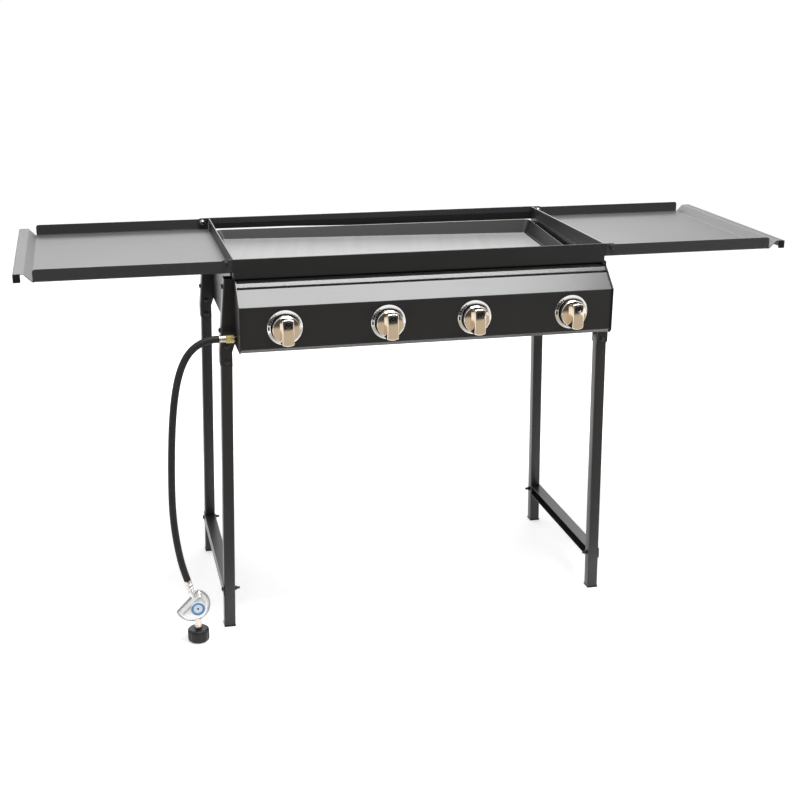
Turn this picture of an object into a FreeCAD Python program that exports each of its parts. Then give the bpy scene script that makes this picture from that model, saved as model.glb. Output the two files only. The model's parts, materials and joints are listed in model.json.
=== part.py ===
import FreeCAD, Part
import Sketcher
import math
import os
import re

# Four-burner flat-top gas griddle on folding legs, with two fold-over side shelves.
# Millimetres. +X to the user's right, +Y to the back, +Z up. The floor is Z = 0.

V = FreeCAD.Vector
doc = FreeCAD.newDocument("Griddle")

# Driving sizes: name, value, meaning
SIZES = [
    ("rim_height", 863, "top edge of the frame above the floor"),
    ("frame_width", 828, "frame, outside"),
    ("frame_depth", 490, "frame, outside"),
    ("wall_height", 43, "front and side walls of the frame"),
    ("guard_height", 27, "back wall, which leaves a slot under it"),
    ("guard_upright", 13, "upright lower band of the back wall"),
    ("guard_lean", 2.5, "lean of the upper band of the back wall"),
    ("sheet", 1.5, "frame, side plate and rear panel sheet"),
    ("hem", 3, "folded rim, thickness"),
    ("hem_height", 9, "folded rim, height"),
    ("ear_height", 20, "shelf hinge ears on the front and back walls"),
    ("ear_margin", 9, "ear past the shelf pivot"),
    ("ear_overlap", 20, "ear welded along the back wall"),
    ("ear_corner", 5, "cut corners of the ears"),
    ("panel_projection", 60, "panel front ahead of the frame front"),
    ("slope_run", 46, "sloped panel top, front to back"),
    ("slope_drop", 41.5, "sloped panel top, height"),
    ("seam_run", 9, "seam from the top of the slope, front to back"),
    ("seam_gap", 1, "open seam between rail and panel"),
    ("strip_gap", 6, "frame bottom to the top of the slope"),
    ("rail_rise", 16, "upstand of the front rail behind the frame wall"),
    ("rail_web", 16, "flange of the front rail behind the seam"),
    ("panel_sheet", 1.2, "control panel and front rail"),
    ("panel_height", 92, "upright panel front, bevel included"),
    ("panel_bevel", 7, "bevelled lower edge of the panel"),
    ("panel_lip", 12, "return under the panel"),
    ("plate_proud", 5, "side plates ahead of the panel"),
    ("plate_drop", 7.5, "side plates below the panel"),
    ("plate_corner", 9, "cut lower front corner of the side plates"),
    ("plate_tuck", 2, "side plates below the frame bottom at the front"),
    ("plate_rise_front", 4, "side plates inside the frame walls, front"),
    ("plate_rise_back", 18, "side plates inside the frame walls, back"),
    ("vent_slot", 4, "rear panel below the frame wall bottom"),
    ("rear_bottom", 17, "rear panel and heat shield above the side plate bottom"),
    ("louvre_share", 0.67, "rear panel slot, share of its spacing"),
    ("louvre_height", 7, "rear panel slot"),
    ("louvre_drop", 40, "rear panel slots below its top"),
    ("shield_sheet", 1, "heat shield"),
    ("shield_wall", 5.5, "heat shield upturn, under the bracket bolts"),
    ("shield_setback", 12, "heat shield behind the frame front"),
    ("pan_side_gap", 8, "griddle pan rim to the folded rim at each side"),
    ("pan_front_gap", 10, "griddle pan rim to the folded rim at the front"),
    ("pan_depth", 24, "griddle pan wall"),
    ("pan_plate", 3, "griddle pan plate"),
    ("pan_flare", 15, "griddle pan wall lean in degrees"),
    ("pan_bend", 9, "griddle pan outer bend radius"),
    ("pan_slope", 0.07, "fall of the pan to the front, rise over run"),
    ("pan_drop", 31, "pan back rim below the frame rim"),
    ("pan_inset", 12, "pan back rim from the inside of the back wall"),
    ("pan_seat", 0.2, "pan above its rails"),
    ("pan_rail", 26, "pan rail width"),
    ("pan_rail_web", 12, "pan rail height, clear of the bolts"),
    ("pan_rail_sheet", 2, "pan rail"),
    ("rail_end", 8, "pan rails short of the frame's front and back"),
    ("knob_edge", 97, "outer knobs from the frame ends"),
    ("knob_share", 0.3013, "inner knobs, share of the outer ones' distance"),
    ("knob_drop", 45.5, "knob axis below the slope"),
    ("bezel_radius", 37.5, "chrome bezel, outside"),
    ("bezel_inner", 31.5, "chrome bezel, opening"),
    ("bezel_depth", 7, "chrome bezel off the panel"),
    ("bezel_edge", 2.5, "chrome bezel, bevelled edges"),
    ("knob_radius", 29.5, "knob skirt and ends of its bar"),
    ("knob_gap", 5, "knob behind face off the panel"),
    ("skirt_depth", 11, "knob skirt"),
    ("skirt_edge", 2.5, "knob skirt, rounded edge"),
    ("grip_depth", 22, "knob bar off the skirt"),
    ("grip_width", 25, "knob bar"),
    ("grip_edge", 2.5, "knob bar, rounded edges"),
    ("grip_crown", 3, "knob bar ends, bevelled"),
    ("dimple_radius", 5, "pointer dimple on the bar"),
    ("dimple_depth", 1.5, "pointer dimple on the bar"),
    ("dimple_rise", 16, "pointer dimple above the axis"),
    ("stem_radius", 4, "valve stem"),
    ("stem_seat", 14, "valve stem inside the knob"),
    ("stem_reach", 24, "valve stem behind the panel front"),
    ("stem_gap", 0.35, "valve stem to its bore"),
    ("stem_hole", 12, "panel hole radius"),
    ("cap_radius", 8, "spring cap"),
    ("cap_depth", 2, "spring cap"),
    ("cap_setback", 2.5, "spring cap behind the panel front"),
    ("push", 3.5, "knob push"),
    ("push_gap", 0.6, "spring cap to valve when pushed"),
    ("collar_radius", 9, "valve collar"),
    ("collar_depth", 6, "valve collar"),
    ("valve_width", 22, "valve body"),
    ("valve_height", 26, "valve body"),
    ("valve_bore", 30, "valve bore behind the collar face"),
    ("jet_radius", 5, "valve jet"),
    ("jet_length", 14, "valve jet"),
    ("manifold_radius", 10.5, "gas pipe"),
    ("manifold_wall", 2, "gas pipe"),
    ("manifold_drop", 31.5, "gas pipe below the knob axis"),
    ("manifold_ahead", 7, "gas pipe ahead of the frame front"),
    ("manifold_past", 24, "gas pipe past the last valve"),
    ("boss_radius", 8, "valve boss on the gas pipe"),
    ("boss_height", 14, "valve boss above the gas pipe axis"),
    ("nipple_radius", 6, "valve inlet"),
    ("burner_radius", 12.5, "burner tube"),
    ("burner_wall", 1.2, "burner tube"),
    ("venturi_radius", 16, "burner mouth"),
    ("venturi_length", 30, "burner mouth"),
    ("burner_start", 6, "burner mouth behind the frame front"),
    ("burner_end", 32, "burner end ahead of the frame back"),
    ("port_count", 9, "gas ports along a burner"),
    ("port_pitch", 40, "gas ports, spacing"),
    ("port_length", 22, "gas port"),
    ("port_width", 3, "gas port"),
    ("port_start", 70, "first gas port from the burner mouth"),
    ("bearer_depth", 14, "burner bearers, front to back"),
    ("bearer_sheet", 2, "burner bearers"),
    ("bearer_gap", 0.1, "burner above its bearers"),
    ("bearer_inset", 60, "burner bearers from the burner ends"),
    ("spark_offset", 21, "igniter from the burner axis"),
    ("spark_radius", 3, "igniter ceramic"),
    ("spark_height", 20, "igniter ceramic"),
    ("spark_tip", 8, "igniter wire"),
    ("spark_wire", 1, "igniter wire radius"),
    ("leg_tube", 25, "square leg"),
    ("leg_wall", 1.2, "square leg"),
    ("leg_plug", 18, "closed upper end of a leg below its pivot"),
    ("leg_splay", 0.0218, "outward lean of the legs, run over rise"),
    ("leg_pivot_out", 16.5, "leg pivot outside the frame"),
    ("pivot_drop", 38.5, "leg pivot below the side plates"),
    ("leg_front_inset", 42, "front legs behind the frame front"),
    ("leg_rear_inset", 26, "rear legs ahead of the frame back"),
    ("foot_height", 4, "foot plug sole"),
    ("foot_margin", 0.5, "foot plug sole past the tube"),
    ("foot_plug", 14, "foot plug in the tube"),
    ("foot_gap", 0.3, "foot plug to the tube"),
    ("brace_height", 91, "brace axis above the floor"),
    ("brace_size", 25, "brace channel height and depth"),
    ("brace_sheet", 1.5, "brace channel"),
    ("brace_gap", 0.4, "brace flanges to the legs"),
    ("bracket_sheet", 2, "leg bracket"),
    ("bracket_top", 4, "leg bracket below the frame bottom"),
    ("bracket_top_depth", 19, "leg bracket depth at its top"),
    ("bracket_tail", 11, "leg bracket below the pivot"),
    ("bracket_straight", 21, "upright foot of the bracket web above the pivot"),
    ("bracket_corner", 4, "cut lower corner of the bracket"),
    ("bracket_gap", 0.6, "leg to bracket cheeks"),
    ("leg_stop", 0.4, "leg to bracket web"),
    ("stop_bolt_rise", 34.5, "stop bolt above the leg pivot"),
    ("bracket_bolt_high", 23, "upper bracket bolt below the frame bottom"),
    ("bracket_bolt_low", 118.5, "lower bracket bolt below the frame bottom"),
    ("shelf_pivot_out", 15, "shelf pivot outside the frame"),
    ("shelf_pivot_drop", 8, "shelf pivot below the rim"),
    ("shelf_reach", 427, "shelf pivot to the outer end"),
    ("shelf_sheet", 1.2, "shelf tray"),
    ("shelf_gap", 0.8, "shelf flanges to the frame"),
    ("shelf_stop", 0.3, "shelf inner edge to the frame wall"),
    ("tray_drop", 19.5, "shelf surface below its pivot"),
    ("flange_height", 25, "shelf flange above the surface"),
    ("flange_setback", 3, "shelf flange end from the frame"),
    ("flange_corner", 8, "shelf flange outer corner"),
    ("lip_rise", 17, "shelf end lip above the surface"),
    ("lip_run", 17, "shelf end lip, sloped part"),
    ("lip_top", 21, "shelf end lip, flat part"),
    ("lip_fall", 18, "shelf end lip, outer flange"),
    ("lip_tab", 15, "tabs that close the ends of the lip"),
    ("bolt_radius", 3, "bolts"),
    ("bolt_head", 3.5, "bolt head height"),
    ("bolt_head_radius", 5.8, "bolt head"),
    ("bolt_edge", 1.4, "bolt head, rounded edge"),
    ("nut_height", 4.5, "nut"),
    ("nut_radius", 5.2, "nut"),
    ("bolt_tip", 3, "bolt end past its nut"),
    ("brace_bolt_tip", 7, "long end of the brace bolts"),
    ("bolt_gap", 0.06, "bolts in their holes"),
    ("side_bolt_rise", 6, "frame bolts above the frame bottom"),
    ("side_bolt_inset", 34, "frame bolts from the frame's front and back"),
    ("inlet_stub", 5, "gas inlet between plate and nut"),
    ("inlet_stub_radius", 6.5, "gas inlet"),
    ("inlet_nut", 17.5, "gas inlet nut length"),
    ("inlet_nut_flats", 19, "gas inlet nut across flats"),
    ("inlet_tail", 14, "gas inlet inside the pipe"),
    ("inlet_gap", 0.3, "gas inlet to plate hole and pipe"),
    ("ferrule_length", 14, "hose ferrule"),
    ("ferrule_end", 20, "hose ferrule at the regulator"),
    ("ferrule_radius", 8, "hose ferrule"),
    ("hose_diameter", 13.5, "gas hose"),
    ("hose_drift", 9, "forward drift of the hose, inlet to regulator"),
    ("regulator_radius", 38, "regulator flange"),
    ("regulator_chord", 17, "cut side of the regulator from its centre"),
    ("regulator_offset", 10, "regulator centre to the left of its inlet stem"),
    ("regulator_lift", 4, "regulator centre above the end of its outlet"),
    ("regulator_flange", 6, "regulator flange thickness"),
    ("regulator_back", 17, "regulator body behind the flange"),
    ("regulator_front", 13, "regulator cover ahead of the flange"),
    ("regulator_draft", 20, "regulator body and cover taper in degrees"),
    ("regulator_step", 4, "cover and body inside the flange edge"),
    ("outlet_radius", 6.5, "regulator outlet"),
    ("outlet_reach", 47, "ferrule to the line of the inlet stem"),
    ("dial_radius", 15, "regulator dial"),
    ("dial_lift", 1.5, "regulator dial above the end of the outlet"),
    ("dial_depth", 4, "regulator dial off the cover"),
    ("dial_ring", 2.6, "regulator dial ring width"),
    ("dial_recess", 1.2, "dial face below its ring"),
    ("inlet_stem_radius", 7.5, "regulator inlet stem"),
    ("inlet_stem_collar", 11, "collar that holds the coupling nut"),
    ("collar_height", 4, "collar that holds the coupling nut"),
    ("collar_gap", 0.5, "coupling nut running gap"),
    ("coupling_radius", 23, "coupling nut"),
    ("coupling_height", 30, "coupling nut"),
    ("coupling_edge", 4, "coupling nut, bevelled edges"),
    ("coupling_bore", 16.6, "coupling nut thread, radius"),
    ("coupling_thread", 18, "coupling nut thread, length"),
    ("coupling_relief", 12, "coupling nut room for the collar"),
    ("coupling_top", 6, "coupling nut top wall"),
    ("flute_count", 10, "grip flutes round the coupling nut"),
    ("flute_radius", 5, "grip flute"),
    ("flute_depth", 1.6, "grip flute"),
    ("regulator_rise", 55, "end of the regulator outlet above the coupling nut"),
]

# Sizes that follow from the driving ones
DERIVED = [
    ("half", "frame_width / 2"),
    ("plate_out", "half - sheet"),
    ("plate_in", "half - 2 * sheet"),
    ("knob_reach", "knob_gap + skirt_depth + grip_depth"),
    ("centre_y", "(panel_projection + knob_reach - shelf_gap - shelf_sheet - bolt_head) / 2"),
    ("front_y", "centre_y - frame_depth / 2"),
    ("back_y", "centre_y + frame_depth / 2"),
    ("guard_y", "back_y - guard_lean - sheet"),
    ("panel_y", "front_y - panel_projection"),
    ("wall_bottom", "rim_height - wall_height"),
    ("guard_bottom", "rim_height - guard_height"),
    ("strip_top", "wall_bottom - strip_gap"),
    ("strip_y", "panel_y + slope_run"),
    ("slope_bottom", "strip_top - slope_drop"),
    ("slope_length", "sqrt(slope_run ^ 2 + slope_drop ^ 2)"),
    ("slope_ratio", "slope_drop / slope_run"),
    ("panel_bottom", "slope_bottom - panel_height"),
    ("plate_bottom", "panel_bottom - plate_drop"),
    ("box_bottom", "plate_bottom + rear_bottom"),
    ("rear_top", "wall_bottom + vent_slot"),
    ("knob_z", "slope_bottom - knob_drop"),
    ("knob_outer", "half - knob_edge"),
    ("knob_inner", "knob_outer * knob_share"),
    ("louvre_pitch", "frame_width / 8"),
    ("louvre_length", "louvre_pitch * louvre_share"),
    ("collar_y", "panel_y + cap_setback + cap_depth + push + push_gap"),
    ("valve_y", "collar_y + collar_depth"),
    ("manifold_y", "front_y - manifold_ahead"),
    ("manifold_z", "knob_z - manifold_drop"),
    ("valve_end", "manifold_y + boss_radius"),
    ("burner_front", "front_y + burner_start"),
    ("burner_back", "back_y - burner_end"),
    ("bearer_top", "knob_z - burner_radius - bearer_gap"),
    ("pan_back_y", "guard_y - pan_inset"),
    ("pan_back_z", "rim_height - pan_drop"),
    ("pan_width", "frame_width - 2 * (hem + pan_side_gap)"),
    ("pan_length", "pan_back_y - front_y - hem - pan_front_gap"),
    ("pan_under", "pan_depth * sqrt(1 + pan_slope ^ 2)"),
    ("leg_pivot_height", "plate_bottom - pivot_drop"),
    ("leg_x", "half + leg_pivot_out"),
    ("leg_half", "leg_tube / 2"),
    ("leg_spacing", "frame_depth - leg_front_inset - leg_rear_inset"),
    ("legs_y", "centre_y + (leg_front_inset - leg_rear_inset) / 2"),
    ("foot_x", "leg_x + leg_pivot_height * leg_splay"),
    ("brace_x", "leg_x + (leg_pivot_height - brace_height) * leg_splay + leg_half"),
    ("bracket_half", "leg_half + bracket_gap + bracket_sheet"),
    ("bracket_z", "wall_bottom - bracket_top"),
    ("bracket_foot", "leg_pivot_height - bracket_tail"),
    ("bracket_knee", "leg_pivot_height + bracket_straight"),
    ("bracket_low_x", "leg_x + leg_half + leg_stop + bracket_sheet"),
    ("bracket_high_x", "plate_out + bracket_top_depth"),
    ("bracket_taper", "(bracket_low_x - bracket_high_x) / (bracket_z - bracket_knee)"),
    ("shelf_x", "half + shelf_pivot_out"),
    ("shelf_z", "rim_height - shelf_pivot_drop"),
    ("tray_top", "shelf_z - tray_drop"),
    ("tray_under", "tray_top - shelf_sheet"),
    ("tray_in", "half + shelf_stop"),
    ("tray_out", "shelf_x + shelf_reach"),
    ("lip_start", "tray_out - lip_top - lip_run"),
    ("lip_height", "tray_top + lip_rise"),
    ("flange_top", "tray_top + flange_height"),
    ("hole_radius", "bolt_radius + bolt_gap"),
    ("side_bolt_z", "wall_bottom + side_bolt_rise"),
    ("inlet_x", "-plate_out - inlet_stub - inlet_nut"),
    ("hose_x", "inlet_x - ferrule_length"),
    ("hose_y", "manifold_y"),
    ("regulator_y", "manifold_y - hose_drift"),
    ("regulator_z", "coupling_height + regulator_rise"),
]

sizes = doc.addObject("Spreadsheet::Sheet", "Sizes")
rows = [(name, str(value), note) for name, value, note in SIZES]
rows += [(name, "=" + formula, "worked out") for name, formula in DERIVED]
for row, (name, text, note) in enumerate(rows, start=1):
    sizes.set(f"A{row}", note)
    sizes.set(f"B{row}", text)
    sizes.setAlias(f"B{row}", name)
doc.recompute()
ALIASES = {name for name, text, note in rows}
SIDES = (("left", "-1"), ("right", "1"))
KNOBS = ("-knob_outer", "-knob_inner", "knob_inner", "knob_outer")


def ex(text):
    """An expression in the sheet's names, as another object has to write it."""
    return re.sub(r"[a-z_]+", lambda m: "Sizes." + m.group() if m.group() in ALIASES else m.group(), text)


def num(text):
    """The present value of an expression in the sheet's names."""
    return float(sizes.evalExpression(text))


def new_body(name):
    body = doc.addObject("PartDesign::Body", name)
    body.Label = name
    return body


def place(obj, x="0", y="0", z="0"):
    """Bind an object's position to expressions."""
    for axis, text in zip("xyz", (x, y, z)):
        obj.setExpression(f"Placement.Base.{axis}", ex(text))
    return obj


def new_sketch(body, plane, offset):
    """A sketch on one of the body's own planes, moved along that plane's normal."""
    sketch = body.newObject("Sketcher::SketchObject", body.Name + "_sketch")
    role = plane + "_Plane"
    support = [item for item in body.Origin.OriginFeatures if item.Role == role][0]
    sketch.AttachmentSupport = [(support, "")]
    sketch.MapMode = "FlatFace"
    sketch.setExpression("AttachmentOffset.Base.z", ex(offset))
    return sketch


def fix_point(sketch, geometry, point, x, y):
    """Hold a point of the sketch at two expressions."""
    for kind, text in (("DistanceX", x), ("DistanceY", y)):
        index = sketch.addConstraint(Sketcher.Constraint(kind, -1, 1, geometry, point, num(text)))
        sketch.setExpression(f"Constraints[{index}]", ex(text))


def draw_polygon(sketch, points):
    spots = [V(num(x), num(y), 0) for x, y in points]
    first = sketch.GeometryCount
    count = len(spots)
    for i in range(count):
        sketch.addGeometry(Part.LineSegment(spots[i], spots[(i + 1) % count]))
    for i in range(count):
        sketch.addConstraint(Sketcher.Constraint("Coincident", first + i, 2, first + (i + 1) % count, 1))
    for i, (x, y) in enumerate(points):
        fix_point(sketch, first + i, 1, x, y)


def draw_circle(sketch, x, y, radius):
    index = sketch.addGeometry(Part.Circle(V(num(x), num(y), 0), V(0, 0, 1), num(radius)))
    fix_point(sketch, index, 3, x, y)
    held = sketch.addConstraint(Sketcher.Constraint("Radius", index, num(radius)))
    sketch.setExpression(f"Constraints[{held}]", ex(radius))


def draw(sketch, shapes):
    """Each shape is a list of corners, or a tuple of a circle's centre and radius."""
    for shape in shapes:
        if isinstance(shape, tuple):
            draw_circle(sketch, *shape)
        else:
            draw_polygon(sketch, shape)


def plane_offset(plane, start):
    """The XZ plane's normal is -Y, the others point along their axis."""
    return f"-({start})" if plane == "XZ" else start


def pad(body, plane, shapes, start, length, taper=None):
    """Material from start over length along the plane's axis."""
    sketch = new_sketch(body, plane, plane_offset(plane, start))
    draw(sketch, shapes)
    feature = body.newObject("PartDesign::Pad", body.Name + "_pad")
    feature.Profile = sketch
    feature.setExpression("Length", ex(length))
    feature.Reversed = plane == "XZ"
    if taper:
        feature.setExpression("TaperAngle", ex(taper))
    body.Tip = feature
    return feature


def pocket(body, plane, shapes, start="0", length=None, taper=None):
    """Cut from start over length along the plane's axis, or right through both ways."""
    doc.recompute()
    before = body.Shape.Volume
    sketch = new_sketch(body, plane, plane_offset(plane, start))
    draw(sketch, shapes)
    feature = body.newObject("PartDesign::Pocket", body.Name + "_pocket")
    feature.Profile = sketch
    if length is None:
        feature.Type = "ThroughAll"
        feature.SideType = "Symmetric"
    else:
        feature.setExpression("Length", ex(length))
        feature.Reversed = plane != "XZ"
        if taper:
            feature.setExpression("TaperAngle", ex(taper))
    body.Tip = feature
    doc.recompute()
    if body.Shape.Volume > before - 1e-3:
        raise RuntimeError(f"{body.Label}: a cut took nothing away")
    return feature


def turned(name, axis, profile, x="0", y="0", z="0"):
    """A turned piece: profile holds (distance along the axis, radius), closed by the axis."""
    body = new_body(name)
    sketch = new_sketch(body, "XZ" if axis == "Z" else "XY", "0")
    if axis == "X":
        draw_polygon(sketch, profile)
    else:
        draw_polygon(sketch, [(radius, along) for along, radius in profile])
    feature = body.newObject("PartDesign::Revolution", name + "_turn")
    feature.Profile = sketch
    feature.ReferenceAxis = (sketch, ["H_Axis" if axis == "X" else "V_Axis"])
    feature.Angle = 360
    body.Tip = feature
    return place(body, x, y, z)


def soften(body, edges, radius):
    """Round the chosen edges of a body."""
    doc.recompute()
    base = body.Tip
    names = [f"Edge{i}" for i, edge in enumerate(base.Shape.Edges, start=1) if edges(edge)]
    feature = body.newObject("PartDesign::Fillet", body.Name + "_round")
    feature.Base = (base, names)
    feature.setExpression("Radius", ex(radius))
    body.Tip = feature
    return feature


def block(name, x, y, z, length, width, height):
    """A plain box from its low corner."""
    box = doc.addObject("Part::Box", name)
    for prop, text in (("Length", length), ("Width", width), ("Height", height)):
        box.setExpression(prop, ex(text))
    return place(box, x, y, z)


TURN_TO = {"X": FreeCAD.Rotation(V(0, 1, 0), 90), "Y": FreeCAD.Rotation(V(1, 0, 0), -90),
           "Z": FreeCAD.Rotation()}


def rod(name, axis, x, y, z, radius, length):
    """A round bar from its end, along +X, +Y or +Z."""
    bar = doc.addObject("Part::Cylinder", name)
    bar.setExpression("Radius", ex(radius))
    bar.setExpression("Height", ex(length))
    bar.Placement = FreeCAD.Placement(V(), TURN_TO[axis])
    return place(bar, x, y, z)


def fuse(name, pieces):
    result = doc.addObject("Part::MultiFuse", name)
    result.Shapes = pieces
    return result


def cut(name, base, tool):
    result = doc.addObject("Part::Cut", name)
    result.Base = base
    result.Tool = tool
    return result


def group(name, pieces):
    """Identical loose pieces that share one node."""
    result = doc.addObject("Part::Compound", name)
    result.Links = pieces
    result.Label = name
    return result


def bolt(name, axis, grip, x, y, z, way="1", tip="bolt_tip"):
    """Round-headed bolt with its nut. (x, y, z) is under the head; way is the sign of the shank."""
    profile = [(f"-{way} * bolt_head", "0"), (f"-{way} * bolt_head", "bolt_head_radius - 2 * bolt_edge"),
               (f"-{way} * (bolt_head - bolt_edge)", "bolt_head_radius - bolt_edge / 2"),
               ("0", "bolt_head_radius"), ("0", "bolt_radius"),
               (f"{way} * ({grip})", "bolt_radius"), (f"{way} * ({grip})", "nut_radius"),
               (f"{way} * ({grip} + nut_height)", "nut_radius"),
               (f"{way} * ({grip} + nut_height)", "bolt_radius"),
               (f"{way} * ({grip} + nut_height + {tip})", "bolt_radius"),
               (f"{way} * ({grip} + nut_height + {tip})", "0")]
    return turned(name, axis, profile, x, y, z)


def box_outline(x0, y0, x1, y1):
    return [(x0, y0), (x1, y0), (x1, y1), (x0, y1)]


nodes = {}


def keep(obj, name):
    """Name a finished sub-part."""
    obj.Label = name
    nodes[name] = obj


# Frame walls round the pan
def ear(s, z_low):
    """Hinge ear of the front or back wall, seen from the front, with its outer corners cut."""
    end = f"{s} * (shelf_x + ear_margin)"
    cut_x = f"{s} * (shelf_x + ear_margin - ear_corner)"
    return [(f"{s} * (half - ear_overlap)", z_low), (cut_x, z_low), (end, f"{z_low} + ear_corner"),
            (end, "rim_height - ear_corner"), (cut_x, "rim_height"),
            (f"{s} * (half - ear_overlap)", "rim_height")]


def frame_front_wall():
    body = new_body("frame_front_wall")
    pad(body, "XZ", [box_outline("-half", "wall_bottom", "half", "rim_height")], "front_y", "sheet")
    pad(body, "XZ", [box_outline("hem - half", "rim_height - hem_height", "half - hem", "rim_height")],
        "front_y", "hem")
    for side, s in SIDES:
        pad(body, "XZ", [ear(s, "rim_height - ear_height")], "front_y", "sheet")
    pocket(body, "XZ", [(f"{s} * shelf_x", "shelf_z", "hole_radius") for side, s in SIDES])
    keep(body, "frame_front_wall")


def frame_back_wall():
    """Low wind guard: an upright band below, and an upper band that leans back to the rim."""
    body = new_body("frame_back_wall")
    bend = "guard_bottom + guard_upright"
    pad(body, "YZ", [[("guard_y", "guard_bottom"), ("guard_y + sheet", "guard_bottom"),
                      ("guard_y + sheet", bend), ("back_y", "rim_height"),
                      ("back_y - sheet", "rim_height"), ("guard_y", bend)]], "-half", "frame_width")
    for side, s in SIDES:
        pad(body, "XZ", [ear(s, "rim_height - ear_height")], "back_y - sheet", "sheet")
    pocket(body, "XZ", [(f"{s} * shelf_x", "shelf_z", "hole_radius") for side, s in SIDES])
    keep(body, "frame_back_wall")


SIDE_BOLTS = ("front_y + side_bolt_inset", "back_y - side_bolt_inset")


def frame_side_wall(side, s):
    body = new_body(f"frame_{side}_wall")
    outline = [(f"{s} * half", "wall_bottom"), (f"{s} * half", "rim_height"),
               (f"{s} * (half - hem)", "rim_height"), (f"{s} * (half - hem)", "rim_height - hem_height"),
               (f"{s} * plate_out", "rim_height - hem_height"), (f"{s} * plate_out", "wall_bottom")]
    pad(body, "XZ", [outline], "front_y + sheet", "guard_y - front_y - sheet")
    pocket(body, "YZ", [(y, "side_bolt_z", "hole_radius") for y in SIDE_BOLTS])
    keep(body, f"frame_{side}_wall")


# Box under the frame
LEGS_Y = ("legs_y - leg_spacing / 2", "legs_y + leg_spacing / 2")
BRACKET_BOLTS = ("wall_bottom - bracket_bolt_high", "wall_bottom - bracket_bolt_low")


def side_plate(side, s):
    """End plate of the box: it stands a little proud of the panel and tucks up inside the frame wall."""
    body = new_body(f"{side}_side_plate")
    proud_y = "panel_y - plate_proud"
    inside_y = "front_y + 2 * sheet"
    tuck_z = "wall_bottom - plate_tuck"
    outline = [("back_y", "plate_bottom"), (f"{proud_y} + plate_corner", "plate_bottom"),
               (proud_y, "plate_bottom + plate_corner"), (proud_y, "slope_bottom + plate_proud / 2"),
               ("strip_y - plate_proud / 2", tuck_z), (inside_y, tuck_z),
               (inside_y, "wall_bottom + plate_rise_front"),
               ("guard_y - sheet", "wall_bottom + plate_rise_back"), ("guard_y - sheet", "rear_top"),
               ("back_y", "rear_top")]
    x = f"{s} * plate_in" if s == "1" else "-plate_out"
    pad(body, "YZ", [outline], x, "sheet")
    holes = [(y, z, "hole_radius") for y in LEGS_Y for z in BRACKET_BOLTS]
    holes += [(y, "side_bolt_z", "hole_radius") for y in SIDE_BOLTS]
    if side == "left":
        holes.append(("manifold_y", "manifold_z", "inlet_stub_radius + inlet_gap"))
    pocket(body, "YZ", holes)
    keep(body, f"{side}_side_plate")


def on_slope(run, inside):
    """Point of the sloped top: run back from its front edge, and inside below its surface."""
    return (f"panel_y + {run} + {inside} * slope_drop / slope_length",
            f"slope_bottom + ({run}) * slope_ratio - {inside} * slope_run / slope_length")


def control_panel():
    """Folded sheet: slope, upright front, bevelled lower edge and a return under it."""
    body = new_body("control_panel")
    seam = "(slope_run - seam_run)"
    fold = "panel_sheet * 0.414"
    outline = [on_slope(seam, "0"), ("panel_y", "slope_bottom"), ("panel_y", "panel_bottom + panel_bevel"),
               ("panel_y + panel_bevel", "panel_bottom"),
               ("panel_y + panel_bevel + panel_lip", "panel_bottom"),
               ("panel_y + panel_bevel + panel_lip", "panel_bottom + panel_sheet"),
               (f"panel_y + panel_bevel + {fold}", "panel_bottom + panel_sheet"),
               ("panel_y + panel_sheet", f"panel_bottom + panel_bevel + {fold}"),
               ("panel_y + panel_sheet",
                "slope_bottom - panel_sheet * (slope_length - slope_drop) / slope_run"),
               on_slope(seam, "panel_sheet")]
    pad(body, "YZ", [outline], "-plate_in", "2 * plate_in")
    pocket(body, "XZ", [(x, "knob_z", "stem_hole") for x in KNOBS])
    keep(body, "control_panel")


def front_rail():
    """Strip above the seam: a flat top that turns up behind the wall, and a flange behind the seam."""
    body = new_body("front_rail")
    foot = "(slope_run - seam_run + seam_gap)"
    foot_y, foot_z = on_slope(foot, "0")
    in_y, in_z = on_slope(foot, "panel_sheet")
    under = "strip_top - panel_sheet"
    bend = "strip_y + panel_sheet * (slope_length - slope_run) / slope_drop"
    wall = "front_y + sheet"
    crest = "wall_bottom + rail_rise"
    outline = [(foot_y, foot_z), ("strip_y", "strip_top"), (wall, "strip_top"), (wall, crest),
               (f"{wall} + panel_sheet", crest), (f"{wall} + panel_sheet", under), (bend, under),
               (f"{in_y} + panel_sheet", in_z), (f"{in_y} + panel_sheet", f"{in_z} - rail_web"),
               (in_y, f"{in_z} - rail_web"), (in_y, in_z)]
    pad(body, "YZ", [outline], "-plate_in", "2 * plate_in")
    keep(body, "front_rail")


def rear_panel():
    body = new_body("rear_panel")
    face = box_outline("-plate_in", "box_bottom", "plate_in", "rear_top")
    pad(body, "XZ", [face], "back_y - sheet", "sheet")
    slots = []
    for i in range(-3, 4):
        x = f"{i} * louvre_pitch"
        z = "rear_top - louvre_drop"
        slots.append(box_outline(f"{x} - louvre_length / 2", f"{z} - louvre_height",
                                 f"{x} + louvre_length / 2", z))
    pocket(body, "XZ", slots)
    keep(body, "rear_panel")


def heat_shield():
    """Shallow open tray between the side plates, under the burners."""
    body = new_body("heat_shield")
    front = "front_y + shield_setback"
    outer = box_outline("-plate_in", front, "plate_in", "back_y - sheet")
    pad(body, "XY", [outer], "box_bottom", "shield_wall")
    inner = box_outline("shield_sheet - plate_in", f"{front} + shield_sheet",
                        "plate_in - shield_sheet", "back_y - sheet - shield_sheet")
    pocket(body, "XY", [inner], "box_bottom + shield_sheet", "shield_wall")
    keep(body, "heat_shield")


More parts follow.
